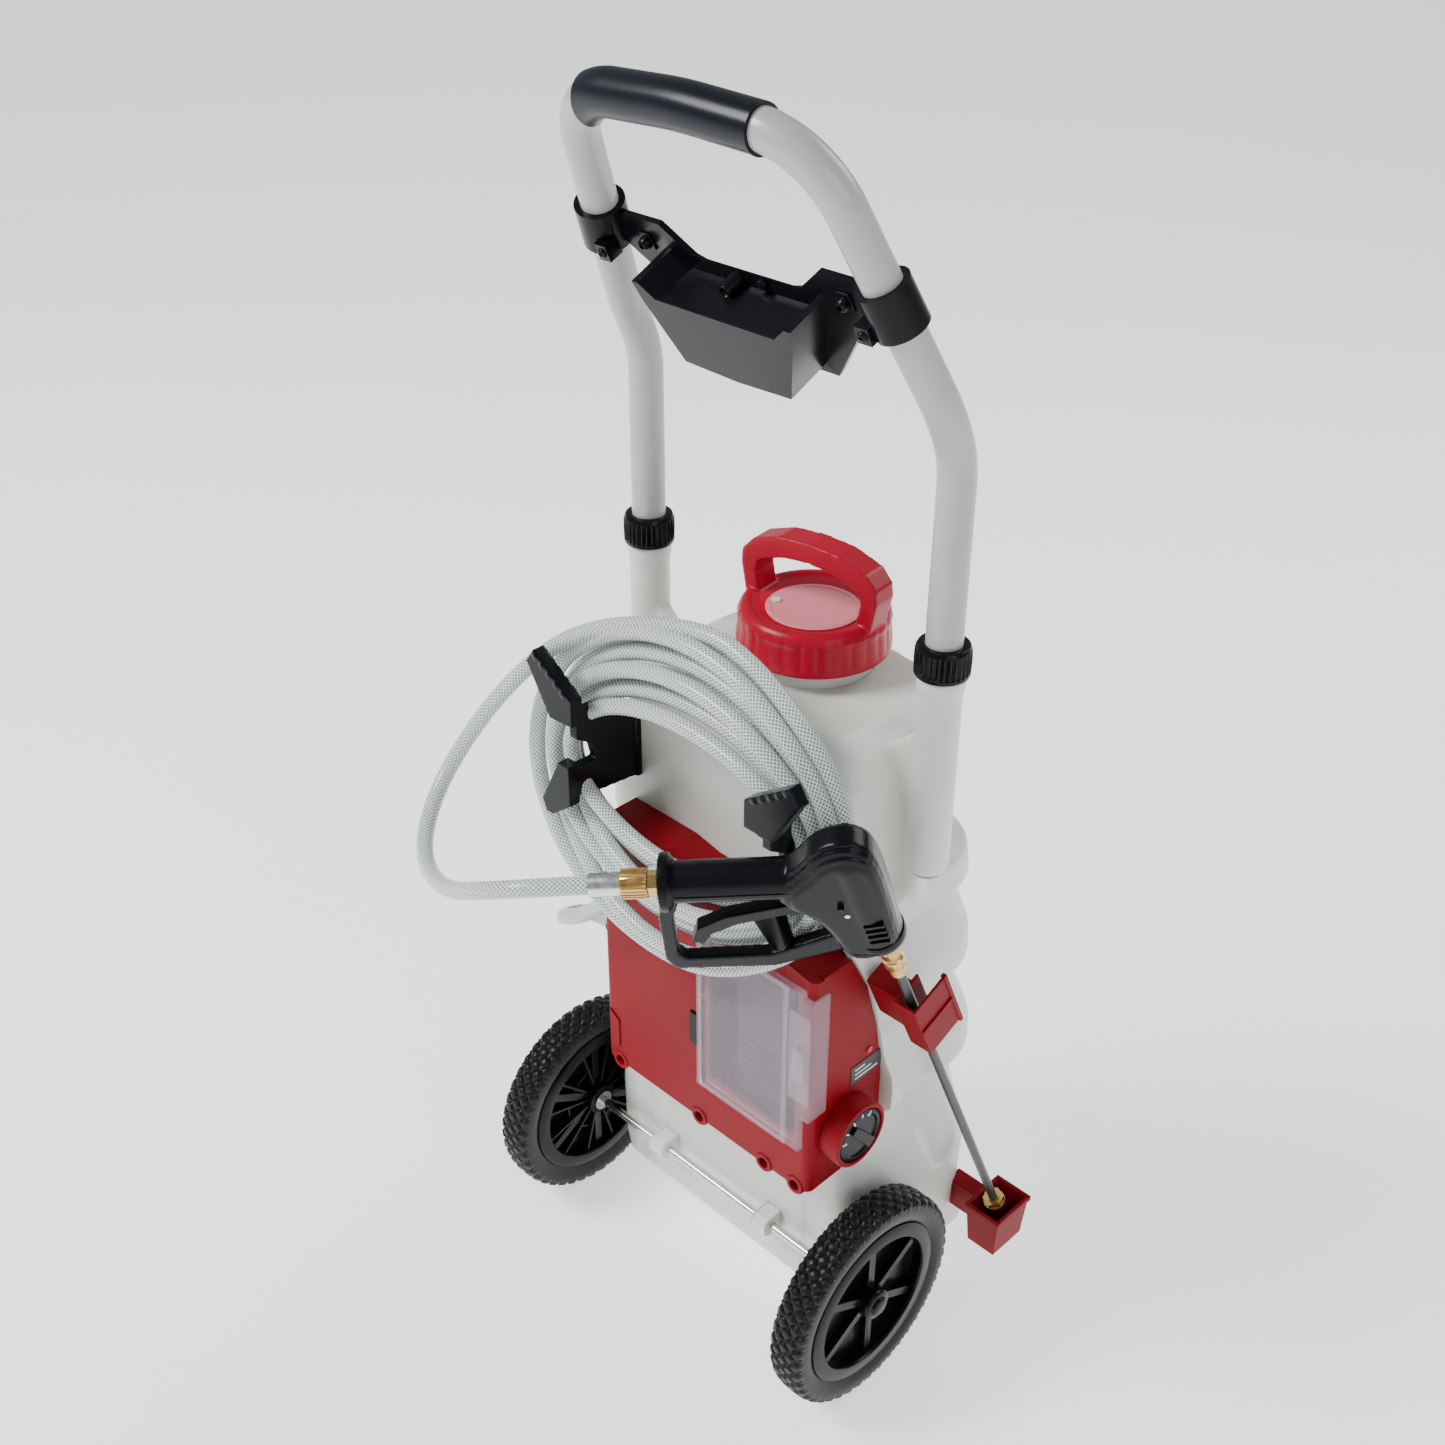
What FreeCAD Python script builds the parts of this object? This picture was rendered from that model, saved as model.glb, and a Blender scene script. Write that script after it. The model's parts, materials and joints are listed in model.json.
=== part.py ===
"""Wheeled battery sprayer: a blow-moulded tank on two wheels with a telescopic
hoop handle, a pump and battery housing, a hose coiled on two hooks and a spray
gun whose lance stands in a clip and a cup on the tank's right side.

The sizes are measured from a datum on the floor under the middle of the axle:
+X is to the right, +Y runs from the working face to the back of the tank and
+Z is up. FRAME_SHIFT then puts the origin in the middle of the footprint.
"""
import FreeCAD, Part
import math
import os

from FreeCAD import Vector as V

# ---------------------------------------------------------------- driving sizes
FRAME_SHIFT = V(-5.0, -22.0, 0.0)
WHEEL_R = 100.0          # tyre outer radius, also the axle's height
WHEEL_W = 34.0           # tyre width
WHEEL_X = 177.0          # wheel mid plane
RIM_R = 77.0             # rim seat under the tyre
AXLE_R = 4.0
RUN_FIT = 0.05           # radial clearance of a turning or sliding fit
GAP = 0.3                # gap between faces that move past each other

TANK_X = 146.0           # tank half width between the wheels
TANK_FRONT = 12.0        # y of the flat front face
WALL = 3.0
TANK_BASE_Z = 34.0
TANK_TOP_Z = 618.0
NECK_Y, NECK_R, NECK_TOP_Z = 110.0, 56.0, 660.0
NECK_BORE_R = 51.0

TUBE_X, TUBE_Y, TUBE_R, TUBE_WALL = 155.5, 75.6, 14.0, 1.5
SOCKET_R, SOCKET_BORE_R = 17.0, 14.5
SOCKET_Z0, SOCKET_Z1 = 501.0, 681.7
HANDLE_TRAVEL = 120.0
LEG_END_Z = SOCKET_Z0 + 5.0 + HANDLE_TRAVEL     # lower end of a leg, handle pulled out
KINK_Z = 850.0           # bend above which the hoop leans forward
HOOP_LEAN = 26.0         # degrees
HOOP_KNEE = (155.0, 42.0)       # x and length up the leaning plane, where the legs turn inwards
HOOP_CORNER = (111.0, 243.0)
HOOP_TOP = 249.0
HOOP_BENDS = (90.0, 150.0, 62.0, 320.0)         # at the kink, the knee, the corner and the top
GRIP_R, GRIP_ENDS = 16.5, (-92.0, 70.0)
CLAMP_S, CLAMP_R = 127.0, 19.0  # clamp position up the leaning plane and its radius
TRAY_SCREW = (94.0, 118.0)

COLLAR_R, COLLAR_H = 21.0, 25.0

COVER_X0, COVER_X1 = -110.0, 138.0
COVER_FRONT = -31.0
COVER_Z0, COVER_Z1 = 213.0, 475.0
COVER_SKIRT_Y = 57.0
POCKET_DEPTH_Y = 66.0
DOOR_X0, DOOR_X1, DOOR_Z0, DOOR_Z1 = 14.0, 131.0, 262.0, 430.0
DIAL_Y, DIAL_Z, DIAL_R = 11.0, 266.0, 30.0
DIAL_FACE_X = 158.0

LID_R, LID_Z0, LID_H = 62.5, 633.0, 36.0

HOSE_D = 14.0
COIL_CENTRE = V(-10.0, -33.0, 547.0)
COIL_LEAN = 11.3         # degrees that the coil leans, foot forward
COIL_HALF_DEPTH = 15.0
COIL_OUT = (172.0, 152.0)
COIL_HOLE = (-108.0, 108.0, -50.0, 56.0)   # x and height limits about the centre

GUN_ORIGIN = V(190.0, -41.3, 565.3)
LANCE_LEAN = 24.42       # degrees from the vertical, foot towards the back
GUN_TURN = 40.4          # degrees that the gun's handle is swung about the lance
LANCE_R = 4.0
LANCE_U0, LANCE_U1 = 100.0, 520.0
HANDLE_SLOPE = 10.2      # degrees between the grip and the lance's normal

GUARD_OUTLINE = [(-30, 142), (-8, 152), (46, 164), (60, 160), (74, 86), (62, 20), (50, 16), (40, 20),
                 (58, 84), (48, 148), (40, 152), (-6, 141), (-30, 128)]
HOSE_END_T = 190.0       # end of the hose, measured along the gun's grip

SCREW_X = (-92.0, 10.0, 88.0, 124.0)
SWITCH_BOX = (0.0, 9.0, COVER_FRONT - 5, COVER_FRONT + 5, 296.0, 332.0)
BUTTON_AT = (COVER_X1 - 10, 40.0, 330.0)
HOOK_POST_X = (103.0, 112.0)
HOOK_SCREW_Z = (514.0, 551.0)

TANK_LEVELS = [(TANK_BASE_Z, 132.0, 27.0, 196.0, 12.0, 46.0),
               (TANK_BASE_Z + 16, TANK_X, TANK_FRONT, 212.0, 16.0, 60.0),
               (215.0, TANK_X, TANK_FRONT, 200.0, 16.0, 60.0),
               (485.0, TANK_X, TANK_FRONT, 172.0, 16.0, 60.0),
               (508.0, 126.0, TANK_FRONT, 172.0, 16.0, 60.0),
               (590.0, 126.0, TANK_FRONT, 172.0, 16.0, 60.0),
               (TANK_TOP_Z, 106.0, 32.0, 170.0, 14.0, 56.0)]    # z, half width, front, back, corner radii
RIB_BANDS = [(452.0, 484.0, 174.0), (358.0, 392.0, 186.0), (258.0, 300.0, 197.0)]   # z0, z1, back

# Routes of the hose outside the coil, chosen by hand (centreline points)
SUPPLY_ROUTE = [(-123, -8, 343), (-152, -8, 343), (-152, -50, 356), (-95, -60, 394), (-62, -62, 400)]
FREE_ROUTE = [(-70, -17, 684), (-120, -26, 655), (-175, -62, 599), (-212, -110, 514),
              (-172, -170, 486), (-90, -212, 505), (-10, -218, 552)]


# ------------------------------------------------------------------ small tools
def box(x0, x1, y0, y1, z0, z1):
    return Part.makeBox(x1 - x0, y1 - y0, z1 - z0, V(x0, y0, z0))


def rod(radius, start, axis, length):
    return Part.makeCylinder(radius, length, V(*start), V(*axis))


def ring(outer, inner, start, axis, length):
    return rod(outer, start, axis, length).cut(rod(inner, start, axis, length))


def axes(origin, u, v, w):
    return FreeCAD.Placement(V(*origin), FreeCAD.Rotation(V(*u), V(*v), V(*w), "ZXY"))


def prism(points, w0, w1, place):
    """Polygon in the (u, v) plane of a placement, raised from w0 to w1."""
    corners = [V(u, v, w0) for u, v in points]
    face = Part.Face(Part.makePolygon(corners + corners[:1]))
    return placed(face.extrude(V(0, 0, w1 - w0)), place)


def placed(shape, place):
    moved = shape.copy()
    moved.Placement = place.multiply(moved.Placement)
    return moved


def fused(shapes):
    return shapes[0].multiFuse(shapes[1:]).removeSplitter() if len(shapes) > 1 else shapes[0]


def mirrored(shape):
    return shape.mirror(V(0, 0, 0), V(1, 0, 0))


def rounded(shape, radius, pick):
    """Fillet the straight edges that pick(edge) accepts."""
    return shape.makeFillet(radius, [edge for edge in shape.Edges if pick(edge)])


def along(axis):
    def pick(edge):
        return len(edge.Vertexes) == 2 and abs(edge.tangentAt(edge.FirstParameter).dot(V(*axis))) > 0.999
    return pick


def route_wire(points, bend):
    """Straight runs joined by tangent arcs: bend is a radius or a list of them."""
    pts = [V(*p) for p in points]
    bends = bend if isinstance(bend, list) else [bend] * (len(pts) - 2)
    edges, start = [], pts[0]
    for before, corner, after, radius in zip(pts, pts[1:], pts[2:], bends):
        inward, onward = (corner - before).normalize(), (after - corner).normalize()
        half = inward.getAngle(onward) / 2
        set_back = radius * math.tan(half)
        first, last = corner - inward * set_back, corner + onward * set_back
        to_middle = (onward - inward).normalize() * (radius / math.cos(half) - radius)
        edges += [Part.makeLine(start, first), Part.Arc(first, corner + to_middle, last).toShape()]
        start = last
    edges.append(Part.makeLine(start, pts[-1]))
    return Part.Wire(edges)


def largest_bends(points):
    """0.45 of the shorter neighbouring run, over the tangent of half the turn."""
    pts = [V(*p) for p in points]
    radii = []
    for before, corner, after in zip(pts, pts[1:], pts[2:]):
        half = (corner - before).getAngle(after - corner) / 2
        radii.append(0.45 * min((corner - before).Length, (after - corner).Length) / math.tan(half))
    return radii


def swept(wire, radius):
    start = wire.Edges[0]
    circle = Part.Wire(Part.makeCircle(radius, start.valueAt(start.FirstParameter),
                                       start.tangentAt(start.FirstParameter)))
    return wire.makePipeShell([circle], True, True)


def keep_node(name, shape):
    solids = shape.Solids
    assert solids and all(s.isValid() for s in solids), name
    body = solids[0].copy() if len(solids) == 1 else Part.makeCompound(solids)
    body.translate(FRAME_SHIFT)
    body.exportStep("parts/%s.step" % name)


def pair(name, shape):
    """A part on the right side and its mirror image on the left."""
    keep_node(name + "_right", shape)
    keep_node(name + "_left", mirrored(shape))


SIDE_PROFILE = axes((0, 0, 0), (0, 1, 0), (0, 0, 1), (1, 0, 0))     # u = y, v = z, w = x
FRONT_PROFILE = axes((0, 0, 0), (1, 0, 0), (0, 0, 1), (0, -1, 0))   # u = x, v = z, w = -y


def hoop_frame():
    lean = math.radians(HOOP_LEAN)
    up = (0, -math.sin(lean), math.cos(lean))
    front = (0, -math.cos(lean), -math.sin(lean))
    return axes((0, TUBE_Y, KINK_Z), (1, 0, 0), up, front)


def gun_frame():
    """u runs down the lance, v towards the gun's butt and w across the gun."""
    lean, turn = math.radians(LANCE_LEAN), math.radians(GUN_TURN)
    down = V(0, math.sin(lean), -math.cos(lean))
    level = V(0, -math.cos(lean), -math.sin(lean))
    butt = V(-1, 0, 0) * math.cos(turn) + level * math.sin(turn)
    return axes(GUN_ORIGIN, down, butt, down.cross(butt))


HOOP = hoop_frame()
GUN = gun_frame()


def grip_frame():
    """w runs along the gun's hand grip towards the hose."""
    slope = math.radians(HANDLE_SLOPE)
    along_grip = V(-math.sin(slope), math.cos(slope), 0)
    across = V(0, 0, 1)
    return GUN.multiply(axes((-20, 0, 0), across.cross(along_grip), across, along_grip))


GRIP = grip_frame()


# --------------------------------------------------------------- running gear
def tyre():
    """Solid tyre with rounded shoulders, turned about the wheel's axis."""
    half, shoulder = WHEEL_W / 2, 5.0
    outline = [(RIM_R, -half), (WHEEL_R - shoulder, -half), (WHEEL_R, -half + shoulder),
               (WHEEL_R, half - shoulder), (WHEEL_R - shoulder, half), (RIM_R, half)]
    return turned(outline, WHEEL_X)


def turned(outline, x):
    """Turn an outline of (radius, offset along X) about the axle."""
    corners = [V(x + along_x, 0, WHEEL_R + radius) for radius, along_x in outline]
    face = Part.Face(Part.makePolygon(corners + corners[:1]))
    return face.revolve(V(0, 0, WHEEL_R), V(1, 0, 0), 360)


def wheel_rim():
    """Rim ring, web with six pockets on both faces, and a long hub."""
    hub_r, hub_half, web_half, rim_in = 15.0, 19.0, 3.0, 66.0
    parts = [turned([(rim_in, -15), (RIM_R, -15), (RIM_R, 15), (rim_in, 15)], WHEEL_X),
             turned([(6, -web_half), (rim_in + 1, -web_half), (rim_in + 1, web_half), (6, web_half)],
                    WHEEL_X),
             turned([(AXLE_R + RUN_FIT, -hub_half), (hub_r, -hub_half), (hub_r, hub_half - 4),
                     (AXLE_R + RUN_FIT, hub_half - 4)], WHEEL_X)]
    spoke = box(WHEEL_X - 11, WHEEL_X + 11, -4, 4, WHEEL_R + hub_r - 2, WHEEL_R + rim_in + 1)
    for index in range(6):
        turned_spoke = spoke.copy()
        turned_spoke.rotate(V(0, 0, WHEEL_R), V(1, 0, 0), 60 * index)
        parts.append(turned_spoke)
    bore = rod(AXLE_R + RUN_FIT, (WHEEL_X - 30, 0, WHEEL_R), (1, 0, 0), 60)
    return fused(parts).cut(bore)


def running_gear():
    end = WHEEL_X + 16.5
    keep_node("axle", rod(AXLE_R, (-end, 0, WHEEL_R), (1, 0, 0), 2 * end))
    pair("tyre", tyre())
    pair("wheel_rim", wheel_rim())
    cap = turned([(0, 17), (0, 23), (12, 23), (15, 20), (15, 15), (12, 15), (12, 17)], WHEEL_X)
    pair("hub_cap", cap)
    washer = ring(10, AXLE_R + 0.2, (WHEEL_X - 21.2, 0, WHEEL_R), (1, 0, 0), 1.8)
    keep_node("axle_washers", Part.makeCompound([washer, mirrored(washer)]))
    clip_x = (-72.0, 62.0)
    clips = [axle_clip(x) for x in clip_x]
    keep_node("axle_clips", Part.makeCompound(clips))


def axle_clip(x):
    """Saddle that holds the axle against the tank's front face."""
    block = box(x - 10, x + 10, -7, TANK_FRONT, WHEEL_R - 8, WHEEL_R + 8)
    block = rounded(block, 4.0, lambda e: along((1, 0, 0))(e) and e.CenterOfMass.y < 0)
    return block.cut(rod(AXLE_R, (x - 20, 0, WHEEL_R), (1, 0, 0), 40))


# ------------------------------------------------------------------------ tank
def plan_outline(z, half_x, front, back, front_r, back_r):
    """Rounded rectangle at height z: four sides and four corner arcs."""
    edges = []
    k = 1 - math.sqrt(0.5)
    corners = [(-half_x, front, front_r, 1, 1), (half_x, front, front_r, -1, 1),
               (half_x, back, back_r, -1, -1), (-half_x, back, back_r, 1, -1)]
    arcs = []
    for index, (x, y, r, sx, sy) in enumerate(corners):
        on_side = V(x, y + sy * r, z)
        on_end = V(x + sx * r, y, z)
        middle = V(x + sx * r * k, y + sy * r * k, z)
        first, last = (on_side, on_end) if index % 2 == 0 else (on_end, on_side)
        arcs.append((first, middle, last))
    for index, (first, middle, last) in enumerate(arcs):
        edges.append(Part.Arc(first, middle, last).toShape())
        edges.append(Part.makeLine(last, arcs[(index + 1) % 4][0]))
    return Part.Wire(edges)


def tank_loft(inset):
    wires = []
    for level, (z, half_x, front, back, front_r, back_r) in enumerate(TANK_LEVELS):
        z_shift = inset if level == 0 else (-inset if level == len(TANK_LEVELS) - 1 else 0)
        wires.append(plan_outline(z + z_shift, half_x - inset, front + inset, back - inset,
                                  front_r - inset, back_r - inset))
    return Part.makeLoft(wires, True, True)


def rib_band(z0, z1, back):
    outline = plan_outline(z0, TANK_X + 6, 70.0, back + 8, 12.0, 64.0)
    return Part.Face(outline).extrude(V(0, 0, z1 - z0))


def handle_socket():
    tube = rod(SOCKET_R, (TUBE_X, TUBE_Y, SOCKET_Z0 + SOCKET_R), (0, 0, 1), SOCKET_Z1 - SOCKET_Z0 - SOCKET_R)
    end = Part.makeSphere(SOCKET_R, V(TUBE_X, TUBE_Y, SOCKET_Z0 + SOCKET_R))
    web = prism([(110, 480), (TUBE_X, 480), (TUBE_X, 650), (110, 612)], -82, -69, FRONT_PROFILE)
    return tube.fuse(end).fuse(web)


def tank_outer():
    return fused([tank_loft(0.0)] + [rib_band(*band) for band in RIB_BANDS])


def tank_shell():
    outer = tank_outer()
    neck = rod(NECK_R, (0, NECK_Y, TANK_TOP_Z - 10), (0, 0, 1), NECK_TOP_Z - TANK_TOP_Z + 10)
    pocket = box(-104, 170, 0, POCKET_DEPTH_Y, 219, 469)
    pocket_wall = box(-104 - WALL, 170, 0, POCKET_DEPTH_Y + WALL, 219 - WALL, 469 + WALL)
    cavity = tank_loft(WALL).cut(pocket_wall)
    socket = handle_socket()
    foot = rounded(box(82, 132, 150, 200, 0, 52), 6.0, along((0, 0, 1)))
    shell = outer.cut(pocket).multiFuse([neck, socket, mirrored(socket), foot, mirrored(foot)])
    shell = shell.cut(cavity).cut(rod(NECK_BORE_R, (0, NECK_Y, 600), (0, 0, 1), 80))
    bore = rod(SOCKET_BORE_R, (TUBE_X, TUBE_Y, SOCKET_Z0 + 3), (0, 0, 1), 300)
    return shell.cut(bore).cut(mirrored(bore))


def lid_handle():
    """Arched carrying bar on two posts, moulded with the lid."""
    outer = [(-57, 0), (-62, 30), (-53, 46), (-26, 58), (26, 58), (53, 46), (62, 30), (57, 0)]
    inner = [(-43, 0), (-47, 24), (-41, 32), (-22, 40), (22, 40), (41, 32), (47, 24), (43, 0)]
    turn = math.radians(7)
    place = axes((0, NECK_Y, LID_Z0 + LID_H - 2), (math.cos(turn), math.sin(turn), 0), (0, 0, 1),
                 (math.sin(turn), -math.cos(turn), 0))
    return prism(outer, -11, 11, place).cut(prism(inner, -20, 20, place))


def filling_neck():
    skirt = ring(LID_R, NECK_R + GAP, (0, NECK_Y, LID_Z0), (0, 0, 1), LID_H - 6)
    top = Part.makeCone(LID_R, LID_R - 6, 8, V(0, NECK_Y, LID_Z0 + LID_H - 8))
    vent = rod(4, (-24, NECK_Y - 20, LID_Z0 + LID_H - 12), (0, 0, 1), 20)
    lid = fused([skirt, top, lid_handle()]).cut(vent)
    seat = rod(NECK_R + GAP, (0, NECK_Y, LID_Z0 - 1), (0, 0, 1), LID_H - 7)
    keep_node("tank_lid", lid.cut(seat))
    gasket_z = NECK_TOP_Z + GAP
    keep_node("lid_gasket", ring(55, 46, (0, NECK_Y, gasket_z), (0, 0, 1), LID_Z0 + LID_H - 8 - gasket_z))
    keep_node("vent_valve", rod(4, (-24, NECK_Y - 20, LID_Z0 + LID_H - 8), (0, 0, 1), 9))
    basket = ring(50, 48, (0, NECK_Y, NECK_TOP_Z - 90), (0, 0, 1), 88)
    basket = fused([basket, rod(50, (0, NECK_Y, NECK_TOP_Z - 90), (0, 0, 1), 2),
                    ring(NECK_BORE_R, 48, (0, NECK_Y, NECK_TOP_Z - 4), (0, 0, 1), 4)])
    keep_node("strainer_basket", basket)


# ---------------------------------------------------------------------- handle
def hoop_wire():
    """Centreline from the left leg's end round the hoop to the right leg's end."""
    lean_points = [(TUBE_X, 0), HOOP_KNEE, HOOP_CORNER, (0, HOOP_TOP)]
    right = [HOOP.multVec(V(u, v, 0)) for u, v in lean_points]
    left = [HOOP.multVec(V(-u, v, 0)) for u, v in lean_points[-2::-1]]
    legs = [V(TUBE_X, TUBE_Y, LEG_END_Z), V(-TUBE_X, TUBE_Y, LEG_END_Z)]
    points = [tuple(p) for p in [legs[0]] + right + left + [legs[1]]]
    return route_wire(points, list(HOOP_BENDS) + list(HOOP_BENDS[-2::-1]))


def telescopic_handle():
    wire = hoop_wire()
    tube = swept(wire, TUBE_R)
    keep_node("handle_tube", tube.cut(swept(wire, TUBE_R - TUBE_WALL)))
    top = placed(box(*GRIP_ENDS, 180, 300, -40, 40), HOOP)
    keep_node("hand_grip", swept(wire, GRIP_R).common(top).cut(tube))
    screw = tray_screw()
    clamp = tube_clamp(tube)
    pair("tube_clamp", clamp.cut(screw))
    keep_node("tray_screws", Part.makeCompound([screw, mirrored(screw)]))
    tray = handle_tray().cut(clamp_ring()).cut(mirrored(clamp_ring()))
    keep_node("handle_tray", tray.cut(screw).cut(mirrored(screw)))


def clamp_ring():
    """Solid cylinder round the right leg where the tray's clamp grips it."""
    (knee_x, knee_s), (corner_x, corner_s) = HOOP_KNEE, HOOP_CORNER
    tilt = math.atan2(knee_x - corner_x, corner_s - knee_s)
    x = knee_x - (CLAMP_S - knee_s) * math.tan(tilt)
    half = 17.0
    start = (x + half * math.sin(tilt), CLAMP_S - half * math.cos(tilt), 0)
    return placed(rod(CLAMP_R, start, (-math.sin(tilt), math.cos(tilt), 0), 2 * half), HOOP)


def tube_clamp(tube):
    """Ring round the leg, with an ear behind the tray's plate and a pinch lug in front."""
    ear = placed(box(82, 126, 106, 131, -10, -5), HOOP)
    lug = placed(box(118, 130, 108, 122, 8, 21), HOOP)
    return fused([clamp_ring(), ear, lug]).cut(tube)


def tray_screw():
    x, s = TRAY_SCREW
    return placed(rod(2.5, (x, s, -12), (0, 0, 1), 13).fuse(rod(5, (x, s, 0), (0, 0, 1), 7)), HOOP)


def handle_tray():
    """Scooped plate in the hoop's plane, and a shelf with low sides and a deep front skirt."""
    dip = [(10.0 * k, 107.0 + 8.0 * (k / 5.0) ** 2) for k in range(-5, 6)]
    plate = [(-122, 137), (-75, 137)] + dip + [(75, 137), (122, 137), (122, 112), (98, 92), (62, 42),
                                               (-62, 42), (-98, 92), (-122, 112)]
    skirt = [(-76, 117), (-72, 100), (-52, 50), (0, 47.5), (52, 50), (72, 100), (76, 117)]
    above = [(-71, 118), (-56, 104), (56, 104), (71, 118)]
    below = [(-68, 101), (-49, 53), (0, 50.5), (49, 53), (68, 101)]
    shelf = prism(skirt, -1, 38, HOOP).cut(prism(above, 0, 35.5, HOOP)).cut(prism(below, 0, 35.5, HOOP))
    lip_cut = prism([(-71, 118), (-57, 105.5), (57, 105.5), (71, 118)], 35, 40, HOOP)
    return fused([prism(plate, -5, 0, HOOP), shelf.cut(lip_cut)])


def twist_collars():
    """Knurled collars that lock the legs, each over a split sleeve."""
    z = SOCKET_Z1 + GAP
    outer = rod(COLLAR_R, (TUBE_X, TUBE_Y, z), (0, 0, 1), COLLAR_H)
    rims = [edge for edge in outer.Edges if len(edge.Vertexes) == 1 and edge.CenterOfMass.z > z + 20]
    outer = outer.makeChamfer(2.5, rims)
    sleeve_r = 17.0
    bore = rod(sleeve_r + RUN_FIT, (TUBE_X, TUBE_Y, z - 1), (0, 0, 1), 17)
    throat = rod(TUBE_R + GAP, (TUBE_X, TUBE_Y, z - 1), (0, 0, 1), 60)
    pair("twist_collar", outer.cut(bore).cut(throat))
    sleeve = ring(sleeve_r, TUBE_R + RUN_FIT, (TUBE_X, TUBE_Y, SOCKET_Z1), (0, 0, 1), 15)
    slit = box(TUBE_X - 1, TUBE_X + 1, TUBE_Y, TUBE_Y + 30, z, z + 30)
    pair("leg_sleeve", sleeve.cut(slit))


# ------------------------------------------------------------------ pump unit
def pump_cover():
    front = box(COVER_X0, COVER_X1, COVER_FRONT, TANK_FRONT, COVER_Z0, COVER_Z1)
    front = rounded(front, 8.0, lambda e: along((0, 0, 1))(e) and e.CenterOfMass.y < 0)
    skirt_side = [(-20, COVER_Z0), (TANK_FRONT, COVER_Z0), (TANK_FRONT, 221), (49, 221), (COVER_SKIRT_Y, 230),
                  (COVER_SKIRT_Y, 296), (48, 350), (33, 400), (TANK_FRONT, 440), (-20, 440)]
    skirt = prism(skirt_side, COVER_X1 - 10, COVER_X1, SIDE_PROFILE)
    boss = rod(DIAL_R, (COVER_X1 - 6, DIAL_Y, DIAL_Z), (1, 0, 0), DIAL_FACE_X - COVER_X1 + 6)
    lugs = [rod(9, (x, COVER_FRONT + 2, COVER_Z0 + 2), (0, 1, 0), TANK_FRONT - COVER_FRONT - 2)
            for x in SCREW_X]
    inside = box(COVER_X0 + WALL, COVER_X1 - WALL, COVER_FRONT + WALL, 80, COVER_Z0 + WALL, COVER_Z1 - WALL)
    window = box(DOOR_X0 + 8, DOOR_X1 - 10, COVER_FRONT - 5, COVER_FRONT + 5, DOOR_Z0 + 8, DOOR_Z1 - 8)
    top, right = COVER_Z1 + 1, COVER_X1 + 1
    corner = prism([(-40, top), (right, 438), (right, top)], -90, 60, FRONT_PROFILE)
    inner_corner = prism([(-55, top), (right, 434), (right, top)], -90, 60, FRONT_PROFILE)
    shell = fused([front.cut(corner), skirt, boss] + lugs).cut(inside.cut(inner_corner)).cut(window)
    recess = rod(DIAL_R - 4, (DIAL_FACE_X - 8, DIAL_Y, DIAL_Z), (1, 0, 0), 20)
    shaft_hole = rod(4 + RUN_FIT, (COVER_X1 - 10, DIAL_Y, DIAL_Z), (1, 0, 0), 30)
    switch_slot = box(*SWITCH_BOX)
    for x in SCREW_X:
        shell = shell.cut(rod(2.5, (x, COVER_FRONT, COVER_Z0 + 2), (0, 1, 0), 60))
        shell = shell.cut(rod(5, (x, COVER_FRONT, COVER_Z0 + 2), (0, 1, 0), 8))
    shell = shell.cut(recess).cut(shaft_hole).cut(switch_slot).cut(rod(9, (-123, -8, 343), (1, 0, 0), 23))
    return shell.cut(rod(3 + RUN_FIT, BUTTON_AT, (1, 0, 0), 20)).cut(tank_flank())


def tank_flank():
    """Room for the tank's own front where the cover's skirt passes it."""
    return box(COVER_X0 - 1, COVER_X1 - WALL, TANK_FRONT, 90, COVER_Z0 - 12, COVER_Z1)


def pump_unit():
    cover = pump_cover()
    keep_node("pump_cover", cover)
    screws = [rod(2.2, (x, COVER_FRONT + 12, COVER_Z0 + 2), (0, 1, 0), TANK_FRONT - COVER_FRONT - 12)
              .fuse(rod(4.5, (x, COVER_FRONT + 10, COVER_Z0 + 2), (0, 1, 0), 2)) for x in SCREW_X]
    keep_node("cover_screws", Part.makeCompound([s.cut(cover) for s in screws]))
    keep_node("battery", rounded(box(46, 111, -22, 60, 270, 421), 3.0, along((0, 0, 1))))
    shelf = box(30, 125, -24, POCKET_DEPTH_Y, 258, 270)
    keep_node("battery_shelf", shelf)
    pump = rod(34, (-48, 22, 300), (0, 0, 1), 90).fuse(box(-86, -10, -14, 58, 268, 300))
    keep_node("pump", pump.fuse(rod(7, (-86 - 14, -8, 343), (1, 0, 0), 30)))
    suction = rod(6, (-48, 58, 284), (0, 1, 0), POCKET_DEPTH_Y - 58)
    keep_node("suction_stub", suction)
    elbow = ring(9, 4, (-123, -8, 343), (1, 0, 0), 23)
    keep_node("hose_outlet", elbow)
    knob = rod(DIAL_R - 4.4, (DIAL_FACE_X - 7.7, DIAL_Y, DIAL_Z), (1, 0, 0), 9)
    shaft = rod(4, (COVER_X1 - 9, DIAL_Y, DIAL_Z), (1, 0, 0), 22)
    keep_node("pressure_knob", knob.fuse(shaft))
    x0, x1, _, _, z0, z1 = SWITCH_BOX
    rocker = box(x0 + GAP, x1 - GAP, COVER_FRONT - 2.0, COVER_FRONT + 3, z0 + GAP + 1, z1 - GAP - 1)
    keep_node("rocker_switch", rocker)
    keep_node("status_button", rod(3, BUTTON_AT, (1, 0, 0), 11.2))
    keep_node("gauge_plate", box(COVER_X1, COVER_X1 + 0.6, 18, 56, 304, 322))
    battery_door()


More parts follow.
